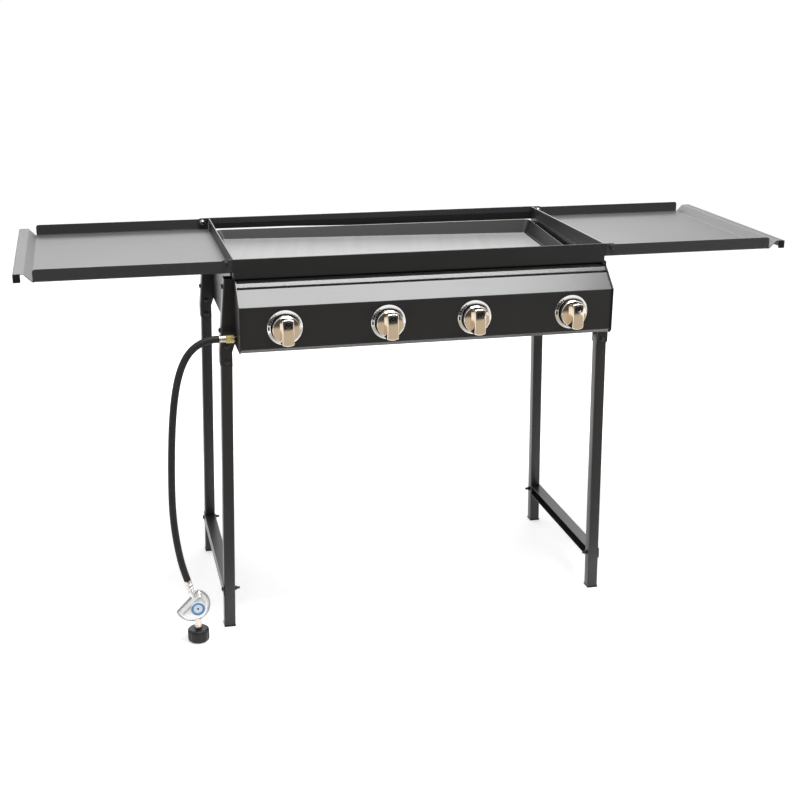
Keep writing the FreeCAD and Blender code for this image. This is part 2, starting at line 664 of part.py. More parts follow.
# Griddle pan and its rails
def griddle_pan():
    """Formed tray with flared walls, built level from its back rim and then tipped to the front."""
    body = new_body("griddle_pan")
    def outline(height, inside):
        """Corners of the tray at a height above its underside, moved in from its outer face."""
        inset = f"((pan_depth - {height}) * tan(pan_flare * 1 deg) + {inside} / cos(pan_flare * 1 deg))"
        wide = f"(pan_width / 2 - {inset})"
        return [box_outline(f"-{wide}", f"{inset} - pan_length", wide, f"-{inset}")]

    pad(body, "XY", outline("0", "0"), "-pan_depth", "pan_depth", "pan_flare")
    floor = -num("pan_depth")
    soften(body, lambda edge: abs(edge.BoundBox.ZMax - floor) < 0.01, "pan_bend")
    pocket(body, "XY", outline("pan_plate", "pan_plate"), "pan_plate - pan_depth", "pan_depth", "pan_flare")
    inner = num("pan_plate - pan_depth")
    soften(body, lambda edge: abs(edge.BoundBox.ZMax - inner) < 0.01, "pan_bend - pan_plate")
    tilt = FreeCAD.Rotation(V(1, 0, 0), math.degrees(math.atan(num("pan_slope"))))
    body.Placement = FreeCAD.Placement(V(0, num("pan_back_y"), num("pan_back_z")), tilt)
    keep(body, "griddle_pan")


def pan_rail(side, s):
    """Angle on the side plate, falling to the front with the pan."""
    body = new_body(f"{side}_pan_rail")
    start = "front_y + rail_end"
    top = f"(pan_back_z - pan_under - pan_seat + ({start} - pan_back_y) * pan_slope)"
    outer = f"{s} * plate_in"
    outline = [(outer, f"{top} - pan_rail_sheet"), (outer, f"{top} + pan_rail_web"),
               (f"{s} * (plate_in - pan_rail_sheet)", f"{top} + pan_rail_web"),
               (f"{s} * (plate_in - pan_rail_sheet)", top), (f"{s} * (plate_in - pan_rail)", top),
               (f"{s} * (plate_in - pan_rail)", f"{top} - pan_rail_sheet")]
    feature = pad(body, "XZ", [outline], start, "guard_y - front_y - 2 * rail_end")
    feature.UseCustomVector = True
    feature.Direction = V(0, 1, num("pan_slope"))
    feature.AlongSketchNormal = True
    feature.Reversed = False
    keep(body, f"{side}_pan_rail")


# Gas train
def manifold():
    """Gas pipe with a closed right end and a flat boss under each valve."""
    start = "-plate_in"
    end = "knob_outer + manifold_past"
    pipe = rod("manifold_bar", "X", start, "manifold_y", "manifold_z", "manifold_radius",
               f"{end} - ({start})")
    bosses = [rod(f"manifold_boss_{i}", "Z", x, "manifold_y", "manifold_z", "boss_radius", "boss_height")
              for i, x in enumerate(KNOBS, start=1)]
    bore = rod("manifold_bore", "X", start, "manifold_y", "manifold_z", "manifold_radius - manifold_wall",
               f"{end} - ({start}) - manifold_wall")
    keep(cut("gas_manifold", fuse("manifold_solid", [pipe] + bosses), bore), "gas_manifold")


def gas_valve(i, x):
    """Valve body with a front collar and stem bore, a jet behind and an inlet down to the manifold boss."""
    name = f"valve_{i}"
    core = block(name + "_core", f"{x} - valve_width / 2", "valve_y", "knob_z - valve_height / 2",
                 "valve_width", "valve_end - valve_y", "valve_height")
    collar = rod(name + "_collar", "Y", x, "collar_y", "knob_z", "collar_radius", "collar_depth")
    jet = rod(name + "_jet", "Y", x, "valve_end", "knob_z", "jet_radius", "jet_length")
    foot = "manifold_z + boss_height"
    nipple = rod(name + "_nipple", "Z", x, "manifold_y", foot, "nipple_radius", f"knob_z - ({foot})")
    bore = rod(name + "_bore", "Y", x, "collar_y", "knob_z", "stem_radius + stem_gap", "valve_bore")
    return cut(name, fuse(name + "_solid", [core, collar, jet, nipple]), bore)


def burner(i, x):
    """Straight tube burner: a flared mouth over the jet, a closed end, and a row of ports along its top."""
    run = "(burner_back - burner_front)"
    profile = [("0", "venturi_radius - burner_wall"), ("0", "venturi_radius"),
               ("venturi_length / 2", "venturi_radius"), ("venturi_length", "burner_radius"),
               (run, "burner_radius"), (run, "0"), (f"{run} - burner_wall", "0"),
               (f"{run} - burner_wall", "burner_radius - burner_wall"),
               ("venturi_length", "burner_radius - burner_wall"),
               ("venturi_length / 2", "venturi_radius - burner_wall")]
    body = turned(f"burner_{i}", "Y", profile, x, "burner_front", "knob_z")
    ports = []
    for k in range(int(num("port_count"))):
        y = f"port_start + {k} * port_pitch"
        ports.append(box_outline("-port_width / 2", y, "port_width / 2", f"{y} + port_length"))
    pocket(body, "XY", ports, "0", "2 * burner_radius")
    return body


def burner_bearer(name, y):
    """Flat bar across the box that carries the burners."""
    body = new_body(name)
    outline = box_outline("-plate_in", f"{y} - bearer_depth / 2", "plate_in", f"{y} + bearer_depth / 2")
    pad(body, "XY", [outline], "bearer_top - bearer_sheet", "bearer_sheet")
    keep(body, name)


FRONT_BEARER = "burner_front + bearer_inset"
REAR_BEARER = "burner_back - bearer_inset / 2"


def igniter(i, x):
    """Ceramic post with a wire tip, standing on the front bearer beside a burner."""
    at = f"{x} + spark_offset"
    post = rod(f"igniter_{i}_post", "Z", at, FRONT_BEARER, "bearer_top", "spark_radius", "spark_height")
    tip = "bearer_top + spark_height"
    wire = rod(f"igniter_{i}_wire", "Z", at, FRONT_BEARER, tip, "spark_wire", "spark_tip")
    return fuse(f"igniter_{i}", [post, wire])


# Knobs
def bezel(i, x):
    profile = [("0", "bezel_inner"), ("0", "bezel_radius"), ("bezel_edge - bezel_depth", "bezel_radius"),
               ("-bezel_depth", "bezel_radius - bezel_edge"),
               ("-bezel_depth", "bezel_inner + bezel_edge / 2"),
               ("bezel_edge - bezel_depth", "bezel_inner")]
    return turned(f"bezel_{i}", "Y", profile, x, "panel_y", "knob_z")


def knob(i, x):
    """Round skirt with a bar grip across it, a pointer dimple, and a socket for the stem."""
    name = f"knob_{i}"
    back = "-knob_gap"
    front = "-knob_reach"
    profile = [(back, "0"), (back, "knob_radius"), (f"{front} + grip_crown", "knob_radius"),
               (front, "knob_radius - grip_crown"), (front, "0")]
    body = turned(name, "Y", profile, x, "panel_y", "knob_z")
    far = "2 * knob_radius"
    flanks = [box_outline(f"{s} * grip_width / 2", f"-{far}", f"{s} * {far}", far) for side, s in SIDES]
    pocket(body, "XZ", flanks, front, "grip_depth")
    grip_front = num(front)
    skirt_front = num("-(knob_gap + skirt_depth)")
    half_grip = num("grip_width / 2")

    def bar_edge(edge):
        """Long front edges of the bar."""
        box = edge.BoundBox
        on_flank = abs(abs(box.XMin) - half_grip) < 0.01 and box.XLength < 0.01
        return abs(box.YMin - grip_front) < 0.01 and on_flank

    def skirt_rim(edge):
        """Round front edges of the skirt, either side of the bar."""
        box = edge.BoundBox
        return abs(box.YMin - skirt_front) < 0.01 and box.YLength < 0.01 and box.XLength > 1

    soften(body, skirt_rim, "skirt_edge")
    soften(body, bar_edge, "grip_edge")
    pocket(body, "XZ", [("0", "dimple_rise", "dimple_radius")], front, "dimple_depth")
    pocket(body, "XZ", [("0", "0", "stem_radius")], f"{back} - stem_seat", "stem_seat")
    keep(body, name)


def valve_stem(i, x):
    start = "panel_y - knob_gap - stem_seat"
    length = "knob_gap + stem_seat + stem_reach"
    stem = rod(f"valve_stem_{i}", "Y", x, start, "knob_z", "stem_radius", length)
    keep(stem, f"valve_stem_{i}")


def spring_cap(i, x):
    """Sliding cap that the push spring bears on, round the stem."""
    front = "cap_setback"
    back = "cap_setback + cap_depth"
    profile = [(front, "stem_radius + stem_gap"), (front, "cap_radius"), (back, "cap_radius"),
               (back, "stem_radius + stem_gap")]
    keep(turned(f"spring_cap_{i}", "Y", profile, x, "panel_y", "knob_z"), f"spring_cap_{i}")


# Leg brackets and folding legs
PIVOT = "leg_pivot_height"
STOP = "leg_pivot_height + stop_bolt_rise"


def leg_bracket(side, s, i, y):
    """Tapered channel on the side plate: the web flares out and then runs straight down past the pivot."""
    body = new_body(f"{side}_bracket_{i}")
    inner = f"{s} * plate_out"
    outline = [(inner, "bracket_foot"), (f"{s} * (bracket_low_x - bracket_corner)", "bracket_foot"),
               (f"{s} * bracket_low_x", "bracket_foot + bracket_corner"),
               (f"{s} * bracket_low_x", "bracket_knee"),
               (f"{s} * bracket_high_x", "bracket_z"), (inner, "bracket_z")]
    pad(body, "XZ", [outline], f"{y} - bracket_half", "2 * bracket_half")
    room = [(f"{s} * half / 2", "bracket_foot / 2"),
            (f"{s} * (bracket_low_x - bracket_sheet)", "bracket_foot / 2"),
            (f"{s} * (bracket_low_x - bracket_sheet)", "bracket_knee"),
            (f"{s} * (bracket_high_x - bracket_sheet)", "bracket_z"),
            (f"{s} * (bracket_high_x - bracket_sheet)", "rim_height"), (f"{s} * half / 2", "rim_height")]
    pocket(body, "XZ", [room], f"{y} - leg_half - bracket_gap", "2 * (leg_half + bracket_gap)")
    pocket(body, "XZ", [(f"{s} * leg_x", z, "hole_radius") for z in (PIVOT, STOP)])
    pocket(body, "YZ", [(y, z, "hole_radius") for z in BRACKET_BOLTS])
    return body


def bracket_bolt(name, s, y, z):
    """Through the bracket web and the side plate. The head stands on the high side of the sloped web."""
    web_x = f"(bracket_low_x - ({z} - bracket_knee) * bracket_taper + bolt_head_radius * bracket_taper)"
    back = "-1" if s == "1" else "1"
    return bolt(name, "X", f"{web_x} - plate_in", f"{s} * {web_x}", y, z, back)


def cross_bolt(name, s, y, z):
    """Along Y through both cheeks of a bracket."""
    return bolt(name, "Y", "2 * bracket_half", f"{s} * leg_x", f"{y} - bracket_half", z)


def leaned(s, z, out="0"):
    """X of a leg's axis at a height, moved outwards."""
    return f"{s} * (leg_x + (leg_pivot_height - ({z})) * leg_splay + {out})"


def leg(side, s, end, y):
    """Square tube that leans outwards, cut level at the foot, with a rounded closed top on its pivot."""
    name = f"{side}_{end}_leg"
    body = new_body(name)
    top = "leg_pivot_height"
    foot = "foot_height"
    outline = [(leaned(s, foot, "-leg_half"), foot), (leaned(s, foot, "leg_half"), foot),
               (leaned(s, top, "leg_half"), top), (leaned(s, top, "-leg_half"), top)]
    pad(body, "XZ", [outline], f"{y} - leg_half", "leg_tube")
    pad(body, "XZ", [(f"{s} * leg_x", top, "leg_half")], f"{y} - leg_half", "leg_tube")
    room = "(leg_half - leg_wall)"
    ceiling = "leg_pivot_height - leg_plug"
    hollow = [(leaned(s, "0", f"-{room}"), "0"), (leaned(s, "0", room), "0"),
              (leaned(s, ceiling, room), ceiling), (leaned(s, ceiling, f"-{room}"), ceiling)]
    pocket(body, "XZ", [hollow], f"{y} - {room}", f"2 * {room}")
    pocket(body, "XZ", [(f"{s} * leg_x", top, "hole_radius")])
    pocket(body, "YZ", [(y, "brace_height", "hole_radius")])
    keep(body, name)


def foot_plug(side, s, i, y):
    """Plug in the open end of a leg, with a level sole."""
    name = f"{side}_foot_{i}"
    body = new_body(name)
    wide = "leg_half + foot_margin"
    sole = box_outline(f"{s} * foot_x - ({wide})", f"{y} - ({wide})",
                       f"{s} * foot_x + {wide}", f"{y} + {wide}")
    pad(body, "XY", [sole], "0", "foot_height")
    room = "(leg_half - leg_wall - foot_gap)"
    top = "foot_height + foot_plug"
    plug = [(leaned(s, "foot_height", f"-{room}"), "foot_height"),
            (leaned(s, "foot_height", room), "foot_height"),
            (leaned(s, top, room), top), (leaned(s, top, f"-{room}"), top)]
    pad(body, "XZ", [plug], f"{y} - {room}", f"2 * {room}")
    return body


def brace(side, s):
    """Channel between the legs: its web lies over their outer faces, its flanges fit between them."""
    name = f"{side}_brace"
    body = new_body(name)
    low = "brace_height - brace_size / 2"
    high = "brace_height + brace_size / 2"
    web = [(leaned(s, low, "leg_half"), low), (leaned(s, low, "leg_half + brace_sheet"), low),
           (leaned(s, high, "leg_half + brace_sheet"), high), (leaned(s, high, "leg_half"), high)]
    pad(body, "XZ", [web], "legs_y - leg_spacing / 2 - leg_half", "leg_spacing + leg_tube")
    inner = "leg_half - brace_size"
    span = "leg_spacing - leg_tube - 2 * brace_gap"
    for z0, z1 in ((low, f"{low} + brace_sheet"), (f"{high} - brace_sheet", high)):
        flange = [(leaned(s, z0, inner), z0), (leaned(s, z0, "leg_half"), z0),
                  (leaned(s, z1, "leg_half"), z1), (leaned(s, z1, inner), z1)]
        pad(body, "XZ", [flange], "legs_y - leg_spacing / 2 + leg_half + brace_gap", span)
    pocket(body, "YZ", [(y, "brace_height", "hole_radius") for y in LEGS_Y])
    keep(body, name)


def brace_bolt(name, s, y):
    """Head outside the brace, long end inside the leg frame. The lean over its radius is its seat gap."""
    back = "-1" if s == "1" else "1"
    seat = "(brace_x + brace_sheet + bolt_head_radius * leg_splay)"
    grip = "leg_tube + brace_sheet + 2 * bolt_head_radius * leg_splay"
    return bolt(name, "X", grip, f"{s} * {seat}", y, "brace_height", back, "brace_bolt_tip")


# Shelves
def shelf_tray(side, s):
    """Folded tray: flat surface, end lip with an outer flange, and upturned front and back flanges."""
    name = f"{side}_shelf_tray"
    body = new_body(name)
    half_fold = "shelf_sheet * 0.414"
    outer = "front_y - shelf_gap - shelf_sheet"
    depth = "frame_depth + 2 * (shelf_gap + shelf_sheet)"
    knee = "(lip_start + lip_run)"
    surface = [(f"{s} * tray_in", "tray_top"), (f"{s} * lip_start", "tray_top"),
               (f"{s} * {knee}", "lip_height"), (f"{s} * tray_out", "lip_height"),
               (f"{s} * tray_out", "lip_height - lip_fall"),
               (f"{s} * (tray_out - shelf_sheet)", "lip_height - lip_fall"),
               (f"{s} * (tray_out - shelf_sheet)", "lip_height - shelf_sheet"),
               (f"{s} * ({knee} + {half_fold})", "lip_height - shelf_sheet"),
               (f"{s} * (lip_start + {half_fold})", "tray_under"), (f"{s} * tray_in", "tray_under")]
    pad(body, "XZ", [surface], outer, depth)
    start = "(half + flange_setback)"
    flange = [(f"{s} * {start}", "tray_under"), (f"{s} * lip_start", "tray_under"),
              (f"{s} * lip_start", "flange_top - flange_corner"),
              (f"{s} * (lip_start - flange_corner)", "flange_top"), (f"{s} * {start}", "flange_top")]
    tab = box_outline(f"{s} * tray_out", "lip_height - lip_fall", f"{s} * (tray_out - lip_tab)", "lip_height")
    for y in (outer, "back_y + shelf_gap"):
        pad(body, "XZ", [flange], y, "shelf_sheet")
        pad(body, "XZ", [tab], y, "shelf_sheet")
    corner_x = num(f"{s} * lip_start")
    corner_z = num("flange_top")

    def flange_tip(edge):
        """Cut corners at the flanges' outer ends."""
        box = edge.BoundBox
        low = box.ZMin > corner_z - num("flange_corner") - 0.01
        return box.YLength > 0.5 and box.YLength < 2 and box.XLength < 0.01 and box.ZLength < 0.01 and low

    soften(body, lambda e: flange_tip(e) and abs(e.BoundBox.XMin - corner_x) < num("flange_corner") + 0.01,
           "flange_corner / 2")
    pocket(body, "XZ", [(f"{s} * shelf_x", "shelf_z", "hole_radius")])
    keep(body, name)


def shelf_bolt(name, s, end):
    """Hinge bolt: its head lies on the shelf flange, its nut on the inside of the frame's ear."""
    grip = "shelf_gap + shelf_sheet + sheet"
    if end == "front":
        return bolt(name, "Y", grip, f"{s} * shelf_x", "front_y - shelf_gap - shelf_sheet", "shelf_z")
    return bolt(name, "Y", grip, f"{s} * shelf_x", "back_y + shelf_gap + shelf_sheet", "shelf_z", "-1")


def side_bolt(name, s, y):
    """Frame wall to side plate."""
    back = "-1" if s == "1" else "1"
    return bolt(name, "X", "2 * sheet", f"{s} * half", y, "side_bolt_z", back)


# Gas inlet, hose and regulator
def gas_inlet():
    """Brass adaptor: a tail in the pipe, a stub through the side plate and a hexagon nut outside."""
    tail = rod("inlet_tail_bar", "X", "-plate_in", "manifold_y", "manifold_z",
               "manifold_radius - manifold_wall - inlet_gap", "inlet_tail")
    stub = rod("inlet_stub_bar", "X", "-plate_out - inlet_stub", "manifold_y", "manifold_z",
               "inlet_stub_radius", "inlet_stub + sheet")
    nut = doc.addObject("Part::Prism", "inlet_hexagon")
    nut.Polygon = 6
    nut.setExpression("Circumradius", ex("inlet_nut_flats / sqrt(3)"))
    nut.setExpression("Height", ex("inlet_nut"))
    nut.Placement = FreeCAD.Placement(V(), TURN_TO["X"])
    place(nut, "inlet_x", "manifold_y", "manifold_z")
    keep(fuse("gas_inlet", [tail, stub, nut]), "gas_inlet")


# Route of the hose: heading below the level at the start of each run, and the run's length.
# Headings past 90 degrees come back under the griddle.
HOSE_RUNS = [(0, 13.1), (10, 13.1), (20, 13.1), (30, 13.1), (40, 13.1), (50, 13.5), (59, 17), (67, 22),
             (74, 30), (79.5, 42), (83.5, 56), (86.2, 60), (87.3, 60), (88.8, 58), (92.4, 52), (96.4, 52),
             (100.2, 46), (106.5, 31)]


def hose_route():
    """Corners of the route, from the inlet ferrule to the regulator's. The runs are scaled to its fall."""
    drops = [run * math.sin(math.radians(heading)) for heading, run in HOSE_RUNS]
    last = num("ferrule_end + outlet_reach") * math.sin(math.radians(HOSE_RUNS[-1][0]))
    fall = num("manifold_z - regulator_z")
    scale = (fall - last) / sum(drops)
    point = V(num("hose_x"), num("hose_y"), num("manifold_z"))
    points = [point]
    for (heading, run), drop in zip(HOSE_RUNS, drops):
        level = run * math.cos(math.radians(heading))
        point = point + V(-level, -num("hose_drift") * drop / fall, -drop) * scale
        points.append(point)
    return points


def hose_path(points):
    """Straight runs joined by tangent arcs, each as large as its two runs allow."""
    edges = []
    radii = []
    start = points[0]
    for a, b, c in zip(points, points[1:], points[2:]):
        into = (b - a).normalize()
        out = (c - b).normalize()
        half_turn = into.getAngle(out) / 2
        reach = 0.45 * min((b - a).Length, (c - b).Length)
        radius = reach / math.tan(half_turn)
        radii.append(radius)
        first = b - into * reach
        last = b + out * reach
        inward = (out - into).normalize()
        middle = b + inward * (radius / math.cos(half_turn) - radius)
        edges.append(Part.LineSegment(start, first).toShape())
        edges.append(Part.Arc(first, middle, last).toShape())
        start = last
    edges.append(Part.LineSegment(start, points[-1]).toShape())
    return Part.Wire(edges), radii


def hose():
    """Rubber hose along its route, checked against its section times its length."""
    points = hose_route()
    path, radii = hose_path(points)
    along = (points[1] - points[0]).normalize()
    section = Part.Wire(Part.makeCircle(num("hose_diameter / 2"), points[0], along))
    tube = path.makePipeShell([section], True, False)
    expected = math.pi * num("hose_diameter / 2") ** 2 * path.Length
    ratio = tube.Volume / expected
    print(f"hose: length {path.Length:.1f}, least radius {min(radii):.1f}, volume ratio {ratio:.5f}")
    print("hose radii:", " ".join(f"{radius:.0f}" for radius in radii))
    feature = doc.addObject("Part::Feature", "gas_hose")
    feature.Shape = tube
    keep(feature, "gas_hose")
    return points


def crimped(name, start, along, length):
    """Crimped ferrule: a sleeve with two shallow rings rolled into it."""
    radius = num("ferrule_radius")
    ring = radius - num("hose_diameter / 2")
    steps = [(0, radius - ring / 2), (0.08, radius), (0.3, radius), (0.36, radius - ring),
             (0.44, radius - ring), (0.5, radius), (0.72, radius), (0.78, radius - ring),
             (0.86, radius - ring), (0.92, radius), (1, radius - ring / 2)]
    spots = [V(0, 0, 0)] + [V(r, 0, share * length) for share, r in steps] + [V(0, 0, length), V(0, 0, 0)]
    solid = Part.Face(Part.makePolygon(spots)).revolve(V(), V(0, 0, 1), 360)
    feature = doc.addObject("Part::Feature", name)
    feature.Shape = solid
    feature.Placement = FreeCAD.Placement(start, FreeCAD.Rotation(V(0, 0, 1), along))
    keep(feature, name)


def regulator(end, along):
    """Round diaphragm housing with one side cut off, an outlet to the hose and an inlet stem below."""
    inside = end + along * num("ferrule_end + outlet_reach")
    stem_x = inside.x
    centre_x = stem_x - num("regulator_offset")
    centre_z = inside.z + num("regulator_lift")
    y = num("regulator_y")
    radius = num("regulator_radius")
    cut_side = V(-1, 0, 1).normalize()

    def slab(size, chord, y_near, y_far, draft):
        """Disc with its cut side, from one depth to another, narrowing away from the flange."""
        def outline(shrink, at):
            r = size - shrink
            d = chord - shrink
            spread = math.acos(d / r)
            middle = math.atan2(cut_side.z, cut_side.x)
            spots = [V(centre_x + r * math.cos(middle + t), at, centre_z + r * math.sin(middle + t))
                     for t in (spread, math.pi, 2 * math.pi - spread)]
            return Part.Wire([Part.Arc(*spots).toShape(), Part.LineSegment(spots[2], spots[0]).toShape()])
        taper = abs(y_far - y_near) * math.tan(math.radians(draft))
        return Part.makeLoft([outline(0, y_near), outline(taper, y_far)], True, True)

    step = num("regulator_step")
    chord = num("regulator_chord")
    draft = num("regulator_draft")
    half_flange = num("regulator_flange / 2")
    back_y = y + half_flange
    back_flange = slab(radius, chord, y, back_y, 0)
    casting = slab(radius - step, chord - step, back_y, back_y + num("regulator_back"), draft)
    outlet = end + along * num("ferrule_end")
    boss = Part.makeCylinder(num("outlet_radius"), num("outlet_reach"), outlet, along)
    room_z = num("coupling_height - coupling_top")
    stem = Part.makeCylinder(num("inlet_stem_radius"), inside.z - room_z + num("collar_gap"),
                             V(stem_x, y, room_z - num("collar_gap")))
    collar = Part.makeCylinder(num("inlet_stem_collar"), num("collar_height"),
                               V(stem_x, y, room_z - num("collar_gap + collar_height")))
    base = back_flange.fuse([casting, boss, stem, collar]).removeSplitter()
    cover_y = y - half_flange
    cover = slab(radius, chord, y, cover_y, 0).cut(base).fuse(
        slab(radius - step, chord - step, cover_y, cover_y - num("regulator_front"), draft)).cut(base)
    cover = cover.removeSplitter()
    face_y = cover_y - num("regulator_front")
    ahead = V(0, -1, 0)
    dial_z = inside.z + num("dial_lift")
    dial = Part.makeCylinder(num("dial_radius"), num("dial_depth"), V(stem_x, face_y, dial_z), ahead)
    well = Part.makeCylinder(num("dial_radius - dial_ring"), num("dial_recess"),
                             V(stem_x, face_y - num("dial_depth - dial_recess"), dial_z), ahead)
    shapes = (("regulator_body", base), ("regulator_cover", cover), ("regulator_dial", dial.cut(well)))
    for name, shape in shapes:
        feature = doc.addObject("Part::Feature", name)
        feature.Shape = shape
        keep(feature, name)
    return stem_x


def coupling_nut(x):
    """Hand nut for the gas cylinder: a threaded mouth, room for the stem's collar, and grip flutes."""
    room = "coupling_height - coupling_top"
    profile = [("0", "coupling_bore"), ("0", "coupling_radius - coupling_edge / 2"),
               ("coupling_edge / 2", "coupling_radius"),
               ("coupling_height - coupling_edge", "coupling_radius"),
               ("coupling_height", "coupling_radius - coupling_edge"),
               ("coupling_height", "inlet_stem_radius + collar_gap"),
               (room, "inlet_stem_radius + collar_gap"),
               (room, "coupling_relief"), ("coupling_thread", "coupling_relief"),
               ("coupling_thread", "coupling_bore")]
    body = turned("coupling_nut", "Z", profile, f"{x:.4f}", "regulator_y")
    far = "(coupling_radius + flute_radius - flute_depth)"
    flutes = []
    for i in range(int(num("flute_count"))):
        angle = f"({i} * 360 deg / flute_count)"
        flutes.append((f"{far} * cos{angle}", f"{far} * sin{angle}", "flute_radius"))
    pocket(body, "XY", flutes)
    keep(body, "coupling_nut")


# Build every piece
frame_front_wall()
frame_back_wall()
control_panel()
front_rail()
rear_panel()
heat_shield()
griddle_pan()
manifold()
burner_bearer("front_burner_bearer", FRONT_BEARER)
burner_bearer("rear_burner_bearer", REAR_BEARER)
gas_inlet()
for side, s in SIDES:
    frame_side_wall(side, s)
    side_plate(side, s)
    pan_rail(side, s)
    brackets = [leg_bracket(side, s, i, y) for i, y in enumerate(LEGS_Y, start=1)]
    keep(group(f"{side}_leg_brackets", brackets), f"{side}_leg_brackets")
    for end, y in zip(("front", "rear"), LEGS_Y):
        leg(side, s, end, y)
    feet = [foot_plug(side, s, i, y) for i, y in enumerate(LEGS_Y, start=1)]
    keep(group(f"{side}_foot_plugs", feet), f"{side}_foot_plugs")
    brace(side, s)
    tie = [brace_bolt(f"{side}_brace_bolt_{i}", s, y) for i, y in enumerate(LEGS_Y, start=1)]
    keep(group(f"{side}_brace_bolts", tie), f"{side}_brace_bolts")
    shelf_tray(side, s)
for i, x in enumerate(KNOBS, start=1):
    knob(i, x)
    valve_stem(i, x)
    spring_cap(i, x)
keep(group("gas_valves", [gas_valve(i, x) for i, x in enumerate(KNOBS, start=1)]), "gas_valves")
keep(group("burner_tubes", [burner(i, x) for i, x in enumerate(KNOBS, start=1)]), "burner_tubes")
keep(group("igniters", [igniter(i, x) for i, x in enumerate(KNOBS, start=1)]), "igniters")
keep(group("knob_bezels", [bezel(i, x) for i, x in enumerate(KNOBS, start=1)]), "knob_bezels")
ENDS = [(side, s, i, y) for side, s in SIDES for i, y in enumerate(LEGS_Y, start=1)]
keep(group("leg_pivot_bolts", [cross_bolt(f"{side}_pivot_{i}", s, y, PIVOT) for side, s, i, y in ENDS]),
     "leg_pivot_bolts")
keep(group("leg_stop_bolts", [cross_bolt(f"{side}_stop_{i}", s, y, STOP) for side, s, i, y in ENDS]),
     "leg_stop_bolts")
keep(group("bracket_bolts", [bracket_bolt(f"{side}_bracket_bolt_{i}_{k}", s, y, z)
                             for side, s, i, y in ENDS for k, z in enumerate(BRACKET_BOLTS)]),
     "bracket_bolts")
keep(group("shelf_bolts", [shelf_bolt(f"{side}_shelf_bolt_{end}", s, end)
                           for side, s in SIDES for end in ("front", "back")]), "shelf_bolts")
keep(group("frame_bolts", [side_bolt(f"{side}_frame_bolt_{k}", s, y)
                           for side, s in SIDES for k, y in enumerate(SIDE_BOLTS)]), "frame_bolts")
route = hose()
lead_in = (route[0] - route[1]).normalize()
crimped("inlet_ferrule", route[0], lead_in, num("ferrule_length"))
lead_out = (route[-1] - route[-2]).normalize()
crimped("regulator_ferrule", route[-1], lead_out, num("ferrule_end"))
nut_x = regulator(route[-1], lead_out)
coupling_nut(nut_x)
doc.recompute()

# Check everything, then write one file per sub-part
for obj in doc.Objects:
    if "Invalid" in obj.State or "Error" in obj.State:
        raise RuntimeError(f"{obj.Label} failed: {obj.State}")
for name, obj in nodes.items():
    if obj.Shape.isNull() or not obj.Shape.isValid() or not obj.Shape.Solids:
        raise RuntimeError(f"{name} has no sound shape")
os.makedirs("parts", exist_ok=True)
for name, obj in nodes.items():
    obj.Shape.exportStep(f"parts/{name}.step")
print(f"{len(nodes)} sub-parts written")
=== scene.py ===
import json
import math

import bmesh
import bpy
import numpy as np
from mathutils import Matrix, Vector


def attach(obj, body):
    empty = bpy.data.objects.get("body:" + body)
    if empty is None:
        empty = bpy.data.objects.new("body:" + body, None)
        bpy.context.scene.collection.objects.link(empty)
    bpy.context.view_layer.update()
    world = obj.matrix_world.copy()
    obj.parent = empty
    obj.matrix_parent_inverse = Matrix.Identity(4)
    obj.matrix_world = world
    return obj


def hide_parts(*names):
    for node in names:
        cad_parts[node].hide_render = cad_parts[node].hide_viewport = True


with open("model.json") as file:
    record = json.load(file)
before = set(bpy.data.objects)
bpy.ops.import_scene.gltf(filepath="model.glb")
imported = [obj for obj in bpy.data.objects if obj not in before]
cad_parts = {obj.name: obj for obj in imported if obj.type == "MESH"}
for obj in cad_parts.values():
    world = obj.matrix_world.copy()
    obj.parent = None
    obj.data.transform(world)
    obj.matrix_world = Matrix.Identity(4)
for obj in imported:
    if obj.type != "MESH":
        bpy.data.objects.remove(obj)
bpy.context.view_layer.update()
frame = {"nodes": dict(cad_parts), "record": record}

NODES = frame["nodes"]
scene = bpy.context.scene


def add_node(tree, kind, **values):
    """A node with some of its inputs or properties set."""
    node = tree.nodes.new(kind)
    for key, value in values.items():
        if key in node.inputs:
            node.inputs[key].default_value = value
        else:
            setattr(node, key, value)
    return node


def map_range(tree, from_ends=(0, 1), to_ends=(0, 1), curve="LINEAR"):
    """A map-range node between two pairs of ends."""
    node = add_node(tree, "ShaderNodeMapRange", interpolation_type=curve)
    for key, value in zip(("From Min", "From Max", "To Min", "To Max"), (*from_ends, *to_ends)):
        node.inputs[key].default_value = value
    return node


# Studio
def make_camera():
    """Camera solved from the photograph: yaw to the right, pitch down and a slight roll, with no shift."""
    yaw, pitch, roll = (math.radians(a) for a in (14.045, 18.275, 0.448))
    place, sensor, focal = (-0.7206, -2.8644, 1.4374), 36, 58.648
    ahead = Vector((math.sin(yaw) * math.cos(pitch), math.cos(yaw) * math.cos(pitch), -math.sin(pitch)))
    right = Vector((math.cos(yaw), -math.sin(yaw), 0))
    up = right.cross(ahead)
    level, lean = math.cos(roll), math.sin(roll)
    right, up = level * right + lean * up, level * up - lean * right
    lens = bpy.data.cameras.new("photo_camera")
    lens.sensor_width = sensor
    lens.lens = focal
    cam = bpy.data.objects.new("photo_camera", lens)
    scene.collection.objects.link(cam)
    turn = Matrix((right, up, -ahead)).transposed().to_4x4()
    cam.matrix_world = Matrix.Translation(place) @ turn
    scene.camera = cam


def area_lamp(name, place, aim, size, power):
    """A soft box: a rectangular lamp at a place, turned to face a point."""
    lamp = bpy.data.lights.new(name, "AREA")
    lamp.shape = "RECTANGLE"
    lamp.size, lamp.size_y = size
    lamp.energy = power
    box = bpy.data.objects.new(name, lamp)
    scene.collection.objects.link(box)
    box.location = place
    box.rotation_euler = (Vector(aim) - Vector(place)).to_track_quat("-Z", "Y").to_euler()


